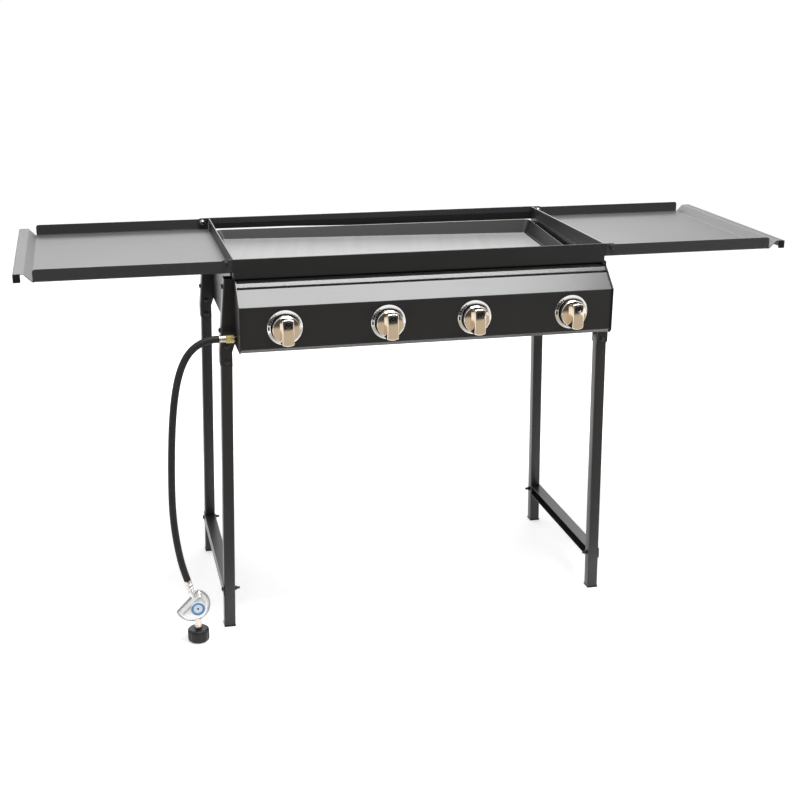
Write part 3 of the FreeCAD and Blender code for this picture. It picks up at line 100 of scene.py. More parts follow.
def make_lights():
    """A long soft box over the panel and a wide one high at the back, beside the world's even light."""
    area_lamp("overhead_box", place=(0.23, -0.50, 2.6), aim=(0.23, -0.42, 0.8), size=(1.76, 0.75), power=75)
    area_lamp("back_box", place=(0.0, 2.9, 2.5), aim=(0.0, 0.1, 0.85), size=(4.4, 1.3), power=60)


def seen_rays(tree):
    """1 where the camera, a reflection or glass looks, and 0 where the light itself is worked out."""
    path = add_node(tree, "ShaderNodeLightPath")
    seen = path.outputs["Is Camera Ray"]
    for ray in ("Is Glossy Ray", "Is Transmission Ray"):
        most = add_node(tree, "ShaderNodeMath", operation="MAXIMUM")
        tree.links.new(seen, most.inputs[0])
        tree.links.new(path.outputs[ray], most.inputs[1])
        seen = most.outputs[0]
    return seen


def make_world():
    """White where it is seen or reflected, and an even half-bright room for the light."""
    world = bpy.data.worlds.new("studio")
    scene.world = world
    world.use_nodes = True
    tree = world.node_tree
    tree.nodes.clear()
    white = add_node(tree, "ShaderNodeBackground", Color=(1, 1, 1, 1))
    room = add_node(tree, "ShaderNodeBackground", Color=(0.5, 0.5, 0.5, 1))
    mix = add_node(tree, "ShaderNodeMixShader")
    out = add_node(tree, "ShaderNodeOutputWorld")
    link = tree.links.new
    link(seen_rays(tree), mix.inputs["Fac"])
    link(room.outputs[0], mix.inputs[1])
    link(white.outputs[0], mix.inputs[2])
    link(mix.outputs[0], out.inputs["Surface"])


def empty_material(name):
    """A material with no nodes yet, and its tree."""
    mat = bpy.data.materials.new(name)
    mat.use_nodes = True
    mat.node_tree.nodes.clear()
    return mat, mat.node_tree


def stage_plane(name, corners, mat):
    """A flat piece of the studio."""
    mesh = bpy.data.meshes.new(name)
    mesh.from_pydata(corners, [], [(0, 1, 2, 3)])
    mesh.materials.append(mat)
    plane = bpy.data.objects.new(name, mesh)
    scene.collection.objects.link(plane)
    return plane


def make_floor():
    """A large white matt floor, whose glow rises away from the part, so that the part's shadow stays."""
    half, grey, rise_from, rise_to, near_glow, far_glow = 90.0, 0.78, 0.9, 3.5, 0.52, 0.62
    mat, tree = empty_material("studio_floor")
    place = add_node(tree, "ShaderNodeTexCoord")
    away = add_node(tree, "ShaderNodeVectorMath", operation="LENGTH")
    rise = map_range(tree, (rise_from, rise_to), (near_glow, far_glow), "SMOOTHSTEP")
    level = add_node(tree, "ShaderNodeMath", operation="MULTIPLY")
    matt = add_node(tree, "ShaderNodeBsdfDiffuse", Color=(grey, grey, grey, 1))
    glow = add_node(tree, "ShaderNodeEmission")
    both = add_node(tree, "ShaderNodeAddShader")
    out = add_node(tree, "ShaderNodeOutputMaterial")
    link = tree.links.new
    link(place.outputs["Object"], away.inputs[0])
    link(away.outputs["Value"], rise.inputs["Value"])
    link(rise.outputs["Result"], level.inputs[0])
    link(seen_rays(tree), level.inputs[1])
    link(level.outputs[0], glow.inputs["Strength"])
    link(matt.outputs[0], both.inputs[0])
    link(glow.outputs[0], both.inputs[1])
    link(both.outputs[0], out.inputs["Surface"])
    stage_plane("studio_floor", [(-half, -half, 0), (half, -half, 0), (half, half, 0), (-half, half, 0)], mat)


def reflection_card(name, corners, bands, axis):
    """A glowing sheet that only reflections show. Bands are (place on the axis, colour), blended between."""
    first, last = bands[0][0], bands[-1][0]
    mat, tree = empty_material(name)
    place = add_node(tree, "ShaderNodeTexCoord")
    split = add_node(tree, "ShaderNodeSeparateXYZ")
    spread = map_range(tree, (first, last))
    tone = add_node(tree, "ShaderNodeValToRGB")
    stops = tone.color_ramp.elements
    for _ in bands[2:]:
        stops.new(0.5)
    for stop, (spot, colour) in zip(stops, bands):
        stop.position = (spot - first) / (last - first)
        stop.color = (*colour, 1)
    glow = add_node(tree, "ShaderNodeEmission")
    out = add_node(tree, "ShaderNodeOutputMaterial")
    link = tree.links.new
    link(place.outputs["Object"], split.inputs[0])
    link(split.outputs[axis], spread.inputs["Value"])
    link(spread.outputs["Result"], tone.inputs["Fac"])
    link(tone.outputs["Color"], glow.inputs["Color"])
    link(glow.outputs[0], out.inputs["Surface"])
    card = stage_plane(name, corners, mat)
    card.visible_camera = False
    card.visible_diffuse = False
    card.visible_transmission = False
    card.visible_shadow = False


def make_reflection_cards():
    """The dim room in front of the set, which only reflections show: a dark wall and a warm floor."""
    left, right, back, front, lift = -1.3, 1.9, -5.0, -0.35, 0.004
    half, high = 8.0, 3.4
    dark, warm = (0.07, 0.069, 0.068), (0.56, 0.48, 0.38)
    pale, white = (0.50, 0.48, 0.46), (0.95, 0.95, 0.95)
    wall = [(-half, back, 0), (half, back, 0), (half, back, high), (-half, back, high)]
    floor = [(left, back, lift), (right, back, lift), (right, front, lift), (left, front, lift)]
    reflection_card("room_wall", wall, [(0, dark), (high, dark)], "Z")
    reflection_card("room_floor", floor, [(front, white), (-0.8, pale), (-1.4, warm), (-3.3, warm),
                                          (-4.0, dark), (back, dark)], "Y")


# Shared surface effects
def node_group(name, inputs):
    """A shader group with float inputs {name: default}, whose outputs are a mask and a normal."""
    group = bpy.data.node_groups.new(name, "ShaderNodeTree")
    for label, value in inputs.items():
        socket = group.interface.new_socket(label, in_out="INPUT", socket_type="NodeSocketFloat")
        socket.default_value = value
    group.interface.new_socket("Mask", in_out="OUTPUT", socket_type="NodeSocketFloat")
    group.interface.new_socket("Normal", in_out="OUTPUT", socket_type="NodeSocketVector")
    return group, group.nodes.new("NodeGroupInput"), group.nodes.new("NodeGroupOutput")


def make_grain_group():
    """Fine skin of a coated or cast surface: a bump, and a mask that clouds its gloss and tone."""
    group, gin, gout = node_group("skin_grain", {"Grain": 900.0, "Depth": 0.1, "Cloud": 9.0})
    link = group.links.new
    place = add_node(group, "ShaderNodeTexCoord")
    fine = add_node(group, "ShaderNodeTexNoise", Detail=2.0, Roughness=0.55)
    cloud = add_node(group, "ShaderNodeTexNoise", Detail=2.0, Roughness=0.45)
    bump = add_node(group, "ShaderNodeBump", Distance=0.0004)
    link(place.outputs["Object"], fine.inputs["Vector"])
    link(place.outputs["Object"], cloud.inputs["Vector"])
    link(gin.outputs["Grain"], fine.inputs["Scale"])
    link(gin.outputs["Cloud"], cloud.inputs["Scale"])
    link(fine.outputs["Fac"], bump.inputs["Height"])
    link(gin.outputs["Depth"], bump.inputs["Strength"])
    link(cloud.outputs["Fac"], gout.inputs["Mask"])
    link(bump.outputs["Normal"], gout.inputs["Normal"])
    return group


def make_rolled_and_painted_streaks_group():
    """Drawn or rolled metal: long fine lines along one way, turned in plan, as a mask and a faint bump. Where
    the mask moves a tone, its broad streaks are partly grain and partly painted reflection streaks.
    """
    group, gin, gout = node_group("rolled_lines_and_painted_streaks", {"Along": 2.0, "Across": 260.0, "Depth": 0.08, "Turn": 0.0})
    link = group.links.new
    place = add_node(group, "ShaderNodeTexCoord")
    turn = add_node(group, "ShaderNodeVectorRotate", rotation_type="Z_AXIS")
    split = add_node(group, "ShaderNodeSeparateXYZ")
    join = add_node(group, "ShaderNodeCombineXYZ")
    lines = add_node(group, "ShaderNodeTexNoise", Scale=1.0, Detail=5.0, Roughness=0.7)
    bump = add_node(group, "ShaderNodeBump", Distance=0.0003)
    link(place.outputs["Object"], turn.inputs["Vector"])
    link(gin.outputs["Turn"], turn.inputs["Angle"])
    link(turn.outputs["Vector"], split.inputs[0])
    for axis, rate in (("X", "Across"), ("Y", "Along"), ("Z", "Along")):
        stretch = add_node(group, "ShaderNodeMath", operation="MULTIPLY")
        link(split.outputs[axis], stretch.inputs[0])
        link(gin.outputs[rate], stretch.inputs[1])
        link(stretch.outputs[0], join.inputs[axis])
    link(join.outputs[0], lines.inputs["Vector"])
    link(lines.outputs["Fac"], bump.inputs["Height"])
    link(gin.outputs["Depth"], bump.inputs["Strength"])
    link(lines.outputs["Fac"], gout.inputs["Mask"])
    link(bump.outputs["Normal"], gout.inputs["Normal"])
    return group


GRAIN = make_grain_group()
ROLLED_AND_PAINTED_STREAKS = make_rolled_and_painted_streaks_group()


def finish_material(name, group, tones, rough, fixed, settings):
    """Principled finish: a group's mask moves the tone and the roughness, and its bump the normal."""
    mat = bpy.data.materials.new(name)
    mat.use_nodes = True
    tree = mat.node_tree
    shader = tree.nodes["Principled BSDF"]
    effect = add_node(tree, "ShaderNodeGroup", node_tree=group)
    for key, value in settings.items():
        effect.inputs[key].default_value = value
    tone = add_node(tree, "ShaderNodeValToRGB")
    for stop, colour in zip(tone.color_ramp.elements, tones):
        stop.color = (*colour, 1)
    gloss = map_range(tree, to_ends=rough)
    link = tree.links.new
    link(effect.outputs["Mask"], tone.inputs["Fac"])
    link(effect.outputs["Mask"], gloss.inputs["Value"])
    link(tone.outputs["Color"], shader.inputs["Base Color"])
    link(gloss.outputs["Result"], shader.inputs["Roughness"])
    link(effect.outputs["Normal"], shader.inputs["Normal"])
    for key, value in fixed.items():
        shader.inputs[key].default_value = value
    return mat


def paint_light_by_facing(mat, tone, rough, steep, level_at):
    """Painted light: let the finish turn to another tone and roughness where the sheet stands up, by its
    normal's Z, so that flat and upright faces become lit and shaded copies of one finish.
    """
    tree = mat.node_tree
    shader = tree.nodes["Principled BSDF"]
    place = add_node(tree, "ShaderNodeTexCoord")
    split = add_node(tree, "ShaderNodeSeparateXYZ")
    level = map_range(tree, (steep, level_at))
    link = tree.links.new
    link(place.outputs["Normal"], split.inputs[0])
    link(split.outputs["Z"], level.inputs["Value"])
    for name, kind, other in (("Base Color", "RGBA", (*tone, 1)), ("Roughness", "FLOAT", rough)):
        mix = add_node(tree, "ShaderNodeMix", data_type=kind)
        factor, wall, flat = (k for k in mix.inputs if k.enabled)
        wall.default_value = other
        link(level.outputs["Result"], factor)
        link(shader.inputs[name].links[0].from_socket, flat)
        link(next(k for k in mix.outputs if k.enabled), shader.inputs[name])


# Finishes
COAT_SKIN = {"Grain": 700.0, "Depth": 0.03, "Cloud": 7.0}
CHROME_SKIN = {"Grain": 300.0, "Depth": 0.01, "Cloud": 30.0}
ENAMEL_SKIN = {"Grain": 600.0, "Depth": 0.02, "Cloud": 60.0}
BLACK_COAT = finish_material(
    "satin_black_coat", GRAIN, ((0.0158, 0.0164, 0.0174), (0.0205, 0.0211, 0.0222)), (0.26, 0.31),
    {"Specular IOR Level": 0.42}, COAT_SKIN)
LEG_COAT = finish_material(
    "leg_black_coat", GRAIN, ((0.0205, 0.0208, 0.0212), (0.0262, 0.0265, 0.0270)), (0.28, 0.34),
    {"Specular IOR Level": 0.46}, COAT_SKIN)
EDGE_COAT = finish_material(
    "bright_black_coat", GRAIN, ((0.0150, 0.0152, 0.0155), (0.0190, 0.0192, 0.0196)), (0.24, 0.29),
    {"Specular IOR Level": 1.0}, COAT_SKIN)
# Painted highlight: the flat crowns of the side rims' hems are pale grey, standing in for the light on them;
# upright faces keep the black coat's own tone.
PAINTED_CROWN_HIGHLIGHT_COAT = finish_material(
    "painted_crown_highlight_coat", GRAIN, ((0.12, 0.12, 0.12), (0.16, 0.16, 0.16)), (0.18, 0.24),
    {"Specular IOR Level": 0.4}, COAT_SKIN)
paint_light_by_facing(PAINTED_CROWN_HIGHLIGHT_COAT, (0.0185, 0.0187, 0.019), 0.46, steep=0.2, level_at=0.7)
# Painted shade: a near-black coat for faces that stand in shade: the back wall's lower band, the ledge under
# the front wall and the shelves' end tabs.
PAINTED_SHADE_COAT = finish_material(
    "painted_shade_black_coat", GRAIN, ((0.006, 0.006, 0.006), (0.009, 0.009, 0.009)), (0.50, 0.60),
    {"Specular IOR Level": 0.2}, COAT_SKIN)
# Painted sheen: the shelf tops carry a grey tone far above the black coat's own, standing in for the light
# that they reflect; upright flanges turn darker, lifted a little as painted bounce light.
SHELF_COAT = finish_material(
    "black_coat_painted_sheen", GRAIN, ((0.070, 0.070, 0.071), (0.083, 0.083, 0.084)), (0.46, 0.54),
    {"Specular IOR Level": 0.6}, {"Grain": 700.0, "Depth": 0.06, "Cloud": 7.0})
paint_light_by_facing(SHELF_COAT, (0.023, 0.0232, 0.0238), 0.44, steep=0.35, level_at=0.65)
# Pan steel: its broad tone streaks are partly the rolled metal's grain and partly painted reflection streaks,
# turned to run down the view.
PAN_STEEL = finish_material(
    "pan_steel_painted_shade_and_streaks", ROLLED_AND_PAINTED_STREAKS, ((0.176, 0.176, 0.176), (0.272, 0.271, 0.269)), (0.46, 0.58),
    {"Metallic": 0.2, "Specular IOR Level": 0.35},
    {"Along": 1.5, "Across": 60.0, "Depth": 0.0, "Turn": 0.22})
# Painted shade: the pan's flared walls turn near black, while its floor keeps the light steel tone.
paint_light_by_facing(PAN_STEEL, (0.013, 0.0122, 0.012), 0.40, steep=0.62, level_at=0.82)
CHROME = finish_material(
    "satin_chrome", GRAIN, ((0.84, 0.83, 0.81), (0.88, 0.87, 0.85)), (0.16, 0.24),
    {"Metallic": 1.0}, CHROME_SKIN)
KNOB_CHROME = finish_material(
    "warm_chrome", GRAIN, ((0.88, 0.79, 0.67), (0.92, 0.83, 0.71)), (0.05, 0.10),
    {"Metallic": 1.0}, CHROME_SKIN)
ZINC = finish_material(
    "zinc_plate", GRAIN, ((0.64, 0.59, 0.55), (0.76, 0.71, 0.67)), (0.26, 0.40),
    {"Metallic": 1.0}, {"Grain": 1400.0, "Depth": 0.05, "Cloud": 80.0})
CAP_NUT = finish_material(
    "cap_nut_steel", GRAIN, ((0.19, 0.185, 0.18), (0.26, 0.255, 0.25)), (0.18, 0.26),
    {"Metallic": 1.0}, {"Grain": 1400.0, "Depth": 0.03, "Cloud": 80.0})
GALVANISED = finish_material(
    "galvanised_sheet", GRAIN, ((0.42, 0.43, 0.44), (0.60, 0.61, 0.62)), (0.38, 0.55),
    {"Metallic": 1.0}, {"Grain": 500.0, "Depth": 0.06, "Cloud": 60.0})
BRASS = finish_material(
    "machined_brass", GRAIN, ((0.40, 0.33, 0.12), (0.52, 0.43, 0.18)), (0.24, 0.36),
    {"Metallic": 1.0}, {"Grain": 1500.0, "Depth": 0.05, "Cloud": 90.0})
HOSE_RUBBER = finish_material(
    "hose_rubber", GRAIN, ((0.014, 0.014, 0.014), (0.024, 0.024, 0.024)), (0.50, 0.62),
    {"Specular IOR Level": 0.25}, {"Grain": 1600.0, "Depth": 0.08, "Cloud": 40.0})
BLACK_PLASTIC = finish_material(
    "moulded_black_plastic", GRAIN, ((0.007, 0.007, 0.007), (0.013, 0.013, 0.013)), (0.32, 0.42),
    {"Specular IOR Level": 0.32}, {"Grain": 1800.0, "Depth": 0.10, "Cloud": 40.0})
DIE_CAST = finish_material(
    "silver_die_cast", GRAIN, ((0.70, 0.70, 0.69), (0.80, 0.80, 0.79)), (0.22, 0.32),
    {"Metallic": 0.7}, {"Grain": 900.0, "Depth": 0.12, "Cloud": 60.0})
CERAMIC = finish_material(
    "igniter_ceramic", GRAIN, ((0.74, 0.72, 0.66), (0.82, 0.80, 0.75)), (0.20, 0.30),
    {}, {"Grain": 600.0, "Depth": 0.03, "Cloud": 60.0})
ROLLED_RIM = finish_material(
    "dull_rolled_rim", GRAIN, ((0.36, 0.36, 0.36), (0.46, 0.46, 0.455)), (0.36, 0.50),
    {"Metallic": 0.7}, {"Grain": 900.0, "Depth": 0.1, "Cloud": 80.0})
NICKEL = finish_material(
    "warm_nickel", GRAIN, ((0.62, 0.53, 0.47), (0.74, 0.65, 0.58)), (0.22, 0.34),
    {"Metallic": 1.0}, {"Grain": 900.0, "Depth": 0.04, "Cloud": 80.0})
BLACK_BOLT = finish_material(
    "black_oxide_bolt", GRAIN, ((0.008, 0.008, 0.0085), (0.015, 0.015, 0.016)), (0.24, 0.34),
    {}, {"Grain": 900.0, "Depth": 0.06, "Cloud": 90.0})
DIAL_PALE = finish_material(
    "dial_pale_face", GRAIN, ((0.66, 0.76, 0.84), (0.74, 0.83, 0.90)), (0.18, 0.26), {}, ENAMEL_SKIN)
DIAL_BLUE = finish_material(
    "dial_enamel", GRAIN, ((0.10, 0.23, 0.47), (0.13, 0.28, 0.53)), (0.16, 0.24), {}, ENAMEL_SKIN)
# Dark enamel for the dial marks and hub; on the knobs' eyes it is a painted dark reflection.
DARK_ENAMEL_AND_PAINTED_REFLECTION = finish_material(
    "dark_enamel_and_painted_reflection", GRAIN, ((0.005, 0.005, 0.005), (0.009, 0.009, 0.009)), (0.16, 0.24),
    {"Specular IOR Level": 0.3}, ENAMEL_SKIN)

SLOT_FINISH = {
    "black_coat": BLACK_COAT, "galvanised": GALVANISED, "valve_brass": BRASS, "ceramic": CERAMIC,
    "pan_steel": PAN_STEEL, "chrome": CHROME, "zinc": ZINC, "black_bolts": BLACK_BOLT,
    "black_plastic": BLACK_PLASTIC, "hose_rubber": HOSE_RUBBER, "die_cast": DIE_CAST,
    "dial_plastic": DIAL_BLUE}


def dress_nodes():
    """Give every CAD node the finish of its material slot."""
    for entry in frame["record"]["subparts"]:
        node = NODES[entry["node"]]
        node.data.materials.clear()
        node.data.materials.append(SLOT_FINISH[entry["material_slot"]])


# Surfaces on a grid
MM = 0.001


def grid_faces(rows, cols, close_rows, close_cols):
    """Quads of a grid of points counted row by row, joined round where a direction closes."""
    i = np.arange(rows if close_rows else rows - 1)[:, None]
    j = np.arange(cols if close_cols else cols - 1)[None, :]
    here, there = i * cols, (i + 1) % rows * cols
    after = (j + 1) % cols
    return np.stack(np.broadcast_arrays(here + j, here + after, there + after, there + j), -1).reshape(-1, 4)


class Shape:
    """Gathers surface grids, in millimetres, into the points and faces of one mesh."""

    def __init__(self):
        self.points, self.faces, self.count = [], [], 0

    def add(self, grid, close_rows=False, close_cols=False, capped=False):
        """Grid of shape (rows, columns, 3). Capped closes the first and last row with one face each."""
        rows, cols = grid.shape[:2]
        self.faces += (grid_faces(rows, cols, close_rows, close_cols) + self.count).tolist()
        if capped:
            ring = np.arange(cols) + self.count
            self.faces += [ring.tolist(), (ring + (rows - 1) * cols).tolist()]
        self.points.append(grid.reshape(-1, 3))
        self.count += rows * cols
        return self

    def add_bar(self, grid):
        """A closed section carried from end to end, with both ends capped."""
        return self.add(grid, close_cols=True, capped=True)

    def add_turned(self, *args, **options):
        """A turned profile, whose rings close."""
        return self.add(turned(*args, **options), close_cols=True)


def build_mesh(name, shape, face_to):
    """Mesh of a shape: equal points merged, faces outwards or, for an open sheet, to the face_to side."""
    mesh = bpy.data.meshes.new(name)
    mesh.from_pydata(np.vstack(shape.points) * MM, [], shape.faces)
    build = bmesh.new()
    build.from_mesh(mesh)
    bmesh.ops.remove_doubles(build, verts=build.verts, dist=1e-6)
    bmesh.ops.recalc_face_normals(build, faces=build.faces)
    if face_to is not None:
        facing = sum((f.normal * f.calc_area() for f in build.faces), Vector()).dot(Vector(face_to))
        if facing < 0:
            bmesh.ops.reverse_faces(build, faces=build.faces)
    build.to_mesh(mesh)
    build.free()
    mesh.shade_smooth()
    return mesh


def make_piece(name, shape, finish, body, stands_for=(),
               sheet=0.0, face_to=None, edge=0.0, sharp=38):
    """A piece on a body. A sheet gets its thickness behind its face, and edge rounds its corners."""
    mesh = build_mesh(name, shape, face_to)
    piece = bpy.data.objects.new(name, mesh)
    scene.collection.objects.link(piece)
    if sheet:
        wall = piece.modifiers.new("sheet", "SOLIDIFY")
        wall.thickness = sheet * MM
        wall.offset = -1
        wall.use_even_offset = True
    if edge:
        soft = piece.modifiers.new("edge", "BEVEL")
        soft.width = edge * MM
        soft.segments = 2
        soft.limit_method = "ANGLE"
        soft.angle_limit = math.radians(50)
        even = piece.modifiers.new("even", "WEIGHTED_NORMAL")
        even.keep_sharp = True
    if piece.modifiers:
        bpy.context.view_layer.update()
        graph = bpy.context.evaluated_depsgraph_get()
        mesh = bpy.data.meshes.new_from_object(piece.evaluated_get(graph))
        piece.modifiers.clear()
        piece.data = mesh
    mesh.materials.clear()
    mesh.materials.append(finish)
    if not edge:
        mesh.set_sharp_from_angle(angle=math.radians(sharp))
    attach(piece, body)
    if stands_for:
        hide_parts(*stands_for)
    return piece


def rounded_line(corners, radius, steps=6):
    """Open line through corners, each inner corner replaced by an arc tangent to its two sides."""
    spots = np.asarray(corners, float)
    line = [spots[:1]]
    for a, b, c, r in zip(spots, spots[1:], spots[2:], np.broadcast_to(radius, len(spots) - 2)):
        into, out = (b - a) / np.linalg.norm(b - a), (c - b) / np.linalg.norm(c - b)
        turn = np.arctan2(into[0] * out[1] - into[1] * out[0], into @ out)
        if abs(turn) < 1e-6 or r == 0:
            line.append(b[None])
            continue
        side = np.sign(turn) * np.array([-into[1], into[0]])
        centre = b - into * r * np.tan(abs(turn) / 2) + side * r
        t = np.linspace(0, turn, steps + 1)[:, None]
        spoke = -side * r
        line.append(centre + spoke * np.cos(t) + np.array([-spoke[1], spoke[0]]) * np.sin(t))
    line.append(spots[-1:])
    return np.vstack(line)


def rounded_loop(corners, radius, steps=6):
    """Closed outline through corners, with every corner rounded."""
    spots = np.asarray(corners, float)
    middle = (spots[-1] + spots[0]) / 2
    return rounded_line(np.vstack([middle, spots, middle]), radius, steps)[:-1]


def along_x(line, x):
    """Line of (y, z) carried along X to each of the stations x."""
    x = np.broadcast_to(np.asarray(x, float)[:, None], (len(x), len(line)))
    return np.stack([x, np.broadcast_to(line[:, 0], x.shape), np.broadcast_to(line[:, 1], x.shape)], -1)


def along_y(line, y):
    """Line of (x, z) carried along Y to each of the stations y."""
    y = np.broadcast_to(np.asarray(y, float)[:, None], (len(y), len(line)))
    return np.stack([np.broadcast_to(line[:, 0], y.shape), y, np.broadcast_to(line[:, 1], y.shape)], -1)


def box_loops(a, b, r, steps=6):
    """Rectangles 2a by 2b with corners of radius r, one loop for each entry of the arrays."""
    a, b, r = (np.asarray(v, float)[:, None] for v in np.broadcast_arrays(a, b, r))
    t = np.concatenate([np.linspace(0, np.pi / 2, steps + 1) + k * np.pi / 2 for k in range(4)])
    sx, sy = np.repeat([1, -1, -1, 1], steps + 1), np.repeat([1, 1, -1, -1], steps + 1)
    return sx * (a - r) + r * np.cos(t), sy * (b - r) + r * np.sin(t)


def turned(profile, centre, axis, steps=72, lobe=None):
    """Profile of (radius, distance along the axis) swung round it. Lobe scales the radius by angle."""
    r, d = np.asarray(profile, float).T
    t = np.linspace(0, 2 * np.pi, steps, endpoint=False)
    axis = np.asarray(axis, float)
    if np.count_nonzero(axis) > 1:
        e1 = np.cross(axis, (0, 1.0, 0))
        e1 = e1 / np.linalg.norm(e1)
    else:
        e1 = np.array([1.0, 0, 0]) if axis[0] == 0 else np.array([0, 1.0, 0])
    e2 = np.cross(axis, e1)
    ring = np.cos(t)[:, None] * e1 + np.sin(t)[:, None] * e2
    reach = r[:, None] * (1 if lobe is None else lobe(r[:, None], t[None, :]))
    reach = np.broadcast_to(reach, (len(r), steps))
    return np.asarray(centre) + reach[..., None] * ring + (d[:, None] * axis)[:, None, :]


# Sizes of the part, in millimetres
HALF, SHEET = 414.0, 1.5
FRONT_Y, BACK_Y, GUARD_Y = -198.75, 291.25, 287.25
RIM_Z, WALL_Z, GUARD_Z = 863.0, 820.0, 836.0
PANEL_Y, SLOPE_Z, PANEL_Z = -258.75, 772.5, 674.0
PLATE_IN, PLATE_OUT = 411.0, 412.5
KNOB_X, KNOB_Z = (-317.0, -95.5121, 95.5121, 317.0), 727.0
SHELF_X, SHELF_Z = 429.0, 855.0
LEG_X, LEG_Y, PIVOT_Z, SPLAY = 430.5, (-156.75, 265.25), 634.5, 0.0218
SIDES = {-1: "left", 1: "right"}
LEFT, FRONT, UP = (-1, 0, 0), (0, -1, 0), (0, 0, 1)


# Frame round the pan
def hem_section(face, back, low, top, hem=9.0, turn=1.5):
    """Closed section of a sheet whose top edge is folded back on itself, from its face to the hem's back."""
    ease_up, ease_in = 0.8, 0.5
    way = np.sign(back - face)
    top_arc = np.linspace(np.pi, 0, 9)
    middle = (face + back) / 2
    crown = np.stack([middle + way * turn * np.cos(top_arc), top - turn + turn * np.sin(top_arc)], -1)
    inside = face + way * SHEET
    rest = [(back, top - hem + ease_up), (back - way * ease_in, top - hem), (inside, top - hem),
            (inside, low)]
    return np.vstack([[(face, low)], crown, rest])


def ear_plate(s, y):
    """Hinge ear: a flat plate with its outer corners rounded, past the end of a frame wall."""
    tall, past, below_rim, corner = 27.4, 9.0, 0.4, 6.0
    low, high, out = RIM_Z - tall, RIM_Z - below_rim, SHELF_X + past
    outline = [(s * HALF, low), (s * out, low), (s * out, high), (s * HALF, high), (s * HALF, low)]
    return along_y(rounded_line(outline, [corner, corner, 0])[:-1], (y, y + SHEET))


def guard_foot(knee):
    """Upright lower band of the back wall, as rings along X, drawn in painted shade. Its lower edge falls to
    the right.
    """
    x = np.array([-HALF, -220.0, -70.0, HALF])
    low = np.array([836.4, 836.0, 832.6, 831.0])
    high = np.full(len(x), knee)
    face, back = GUARD_Y + 0.4, GUARD_Y + SHEET
    section = ((face, low), (face, high), (back, high), (back, low))
    return np.stack([np.stack([x, np.full(len(x), y), z], -1) for y, z in section], 1)


def make_frame():
    """Walls round the pan: folded sheets with hemmed rims, and the ears that carry the shelves."""
    hem, front_lift, upright, curl, shoulder = 3.0, 1.0, 13.0, 0.7, 0.2
    knee = GUARD_Z + upright
    front_section = hem_section(FRONT_Y, FRONT_Y + hem, WALL_Z + front_lift, RIM_Z)
    lean = [(GUARD_Y, knee), (BACK_Y - SHEET, RIM_Z - curl), (BACK_Y - 1.2, RIM_Z - shoulder),
            (BACK_Y - SHEET / 2, RIM_Z), (BACK_Y - 0.3, RIM_Z - shoulder), (BACK_Y, RIM_Z - curl),
            (GUARD_Y + SHEET, knee)]
    front = Shape().add_bar(along_x(front_section, (-HALF, HALF)))
    back = Shape().add_bar(along_x(np.array(lean), (-HALF, HALF)))
    for s, side in SIDES.items():
        front.add_bar(ear_plate(s, FRONT_Y))
        back.add_bar(ear_plate(s, BACK_Y - SHEET))
        section = hem_section(s * HALF, s * (HALF - hem), WALL_Z, RIM_Z)
        rim = Shape().add_bar(along_y(section, (FRONT_Y + SHEET, GUARD_Y)))
        make_piece(f"frame_{side}_rim", rim, PAINTED_CROWN_HIGHLIGHT_COAT, "housing", [f"frame_{side}_wall"],
                   edge=0.3)
    make_piece("frame_front_rim", front, BLACK_COAT, "housing", ["frame_front_wall"],
               edge=0.3)
    make_piece("frame_wind_guard", back, BLACK_COAT, "housing", ["frame_back_wall"],
               edge=0.3)
    foot = Shape().add_bar(guard_foot(knee))
    # Painted shade: the guard's lower band is the same black sheet, coated near black for the shade on it.
    make_piece("frame_guard_foot", foot, PAINTED_SHADE_COAT, "housing", (), edge=0.2)


def make_cap_nuts():
    """Domed nuts on the inside of the back ears: a thin flange and a quarter ellipse, swung round."""
    radius, dome, foot, flange, drop = 7.6, 7.5, 2.5, 0.6, 2.2
    t = np.linspace(0, np.pi / 2, 9)
    profile = np.vstack([[(0, 0), (radius + flange, 0), (radius + flange, 1.4), (radius, 1.6)],
                         np.stack([radius * np.cos(t), foot + dome * np.sin(t)], -1)])
    nuts = Shape()
    for s in SIDES:
        nuts.add_turned(profile, (s * SHELF_X, BACK_Y - SHEET, SHELF_Z - drop), FRONT, 36)
    make_piece("shelf_cap_nuts", nuts, CAP_NUT, "housing", ())


def make_control_panel():
    """Folded front: sloped top, rounded fold, upright front, bevelled lower edge and a return under it."""
    seam_run, seam, crest_run, bevel, lip = 34.4, 4.7, 45.8, 9.0, 19.0
    slope, sheet, edge, web_drop = 41.5 / 46, 1.2, 0.3, 16.0
    into_slope, ledge_run, ledge_rise = (0.67, -0.742), 9.0, 16.0
    stations = np.linspace(-PLATE_IN, PLATE_IN, 5)

    def on_slope(run):
        """Point of the sloped top, some way behind the panel's front."""
        return PANEL_Y + run, SLOPE_Z + run * slope

    def folded(name, corners, radius, finish, stands_for, face_to):
        """A folded sheet along X."""
        shape = Shape().add(along_x(rounded_line(corners, [radius]), stations))
        make_piece(name, shape, finish, "housing", stands_for, sheet, face_to, edge)

    fold = PANEL_Y, PANEL_Z + bevel
    folded("control_fascia", [on_slope(seam_run), on_slope(0), fold], 3.2, BLACK_COAT, ["control_panel"],
           (0, -1, 0.3))
    folded("control_fascia_edge", [fold, (PANEL_Y + bevel, PANEL_Z), (PANEL_Y + lip, PANEL_Z)], 2.4,
           EDGE_COAT, (), (0, -0.5, -1))
    foot, crest = on_slope(seam_run + seam), on_slope(crest_run)
    web = foot[0] + sheet * into_slope[0], foot[1] + sheet * into_slope[1]
    folded("front_top_rail", [(web[0], web[1] - web_drop), web, crest], 0.4, EDGE_COAT, ["front_rail"],
           (0, -0.7, 0.7))
    wall_y = FRONT_Y + ledge_run
    # Painted shade: the ledge under the front wall is coated near black, standing in for the shade there.
    folded("front_rail_ledge", [crest, (wall_y, crest[1]), (wall_y, WALL_Z + ledge_rise)], 1.4, PAINTED_SHADE_COAT,
           (), (0, -0.7, 0.7))


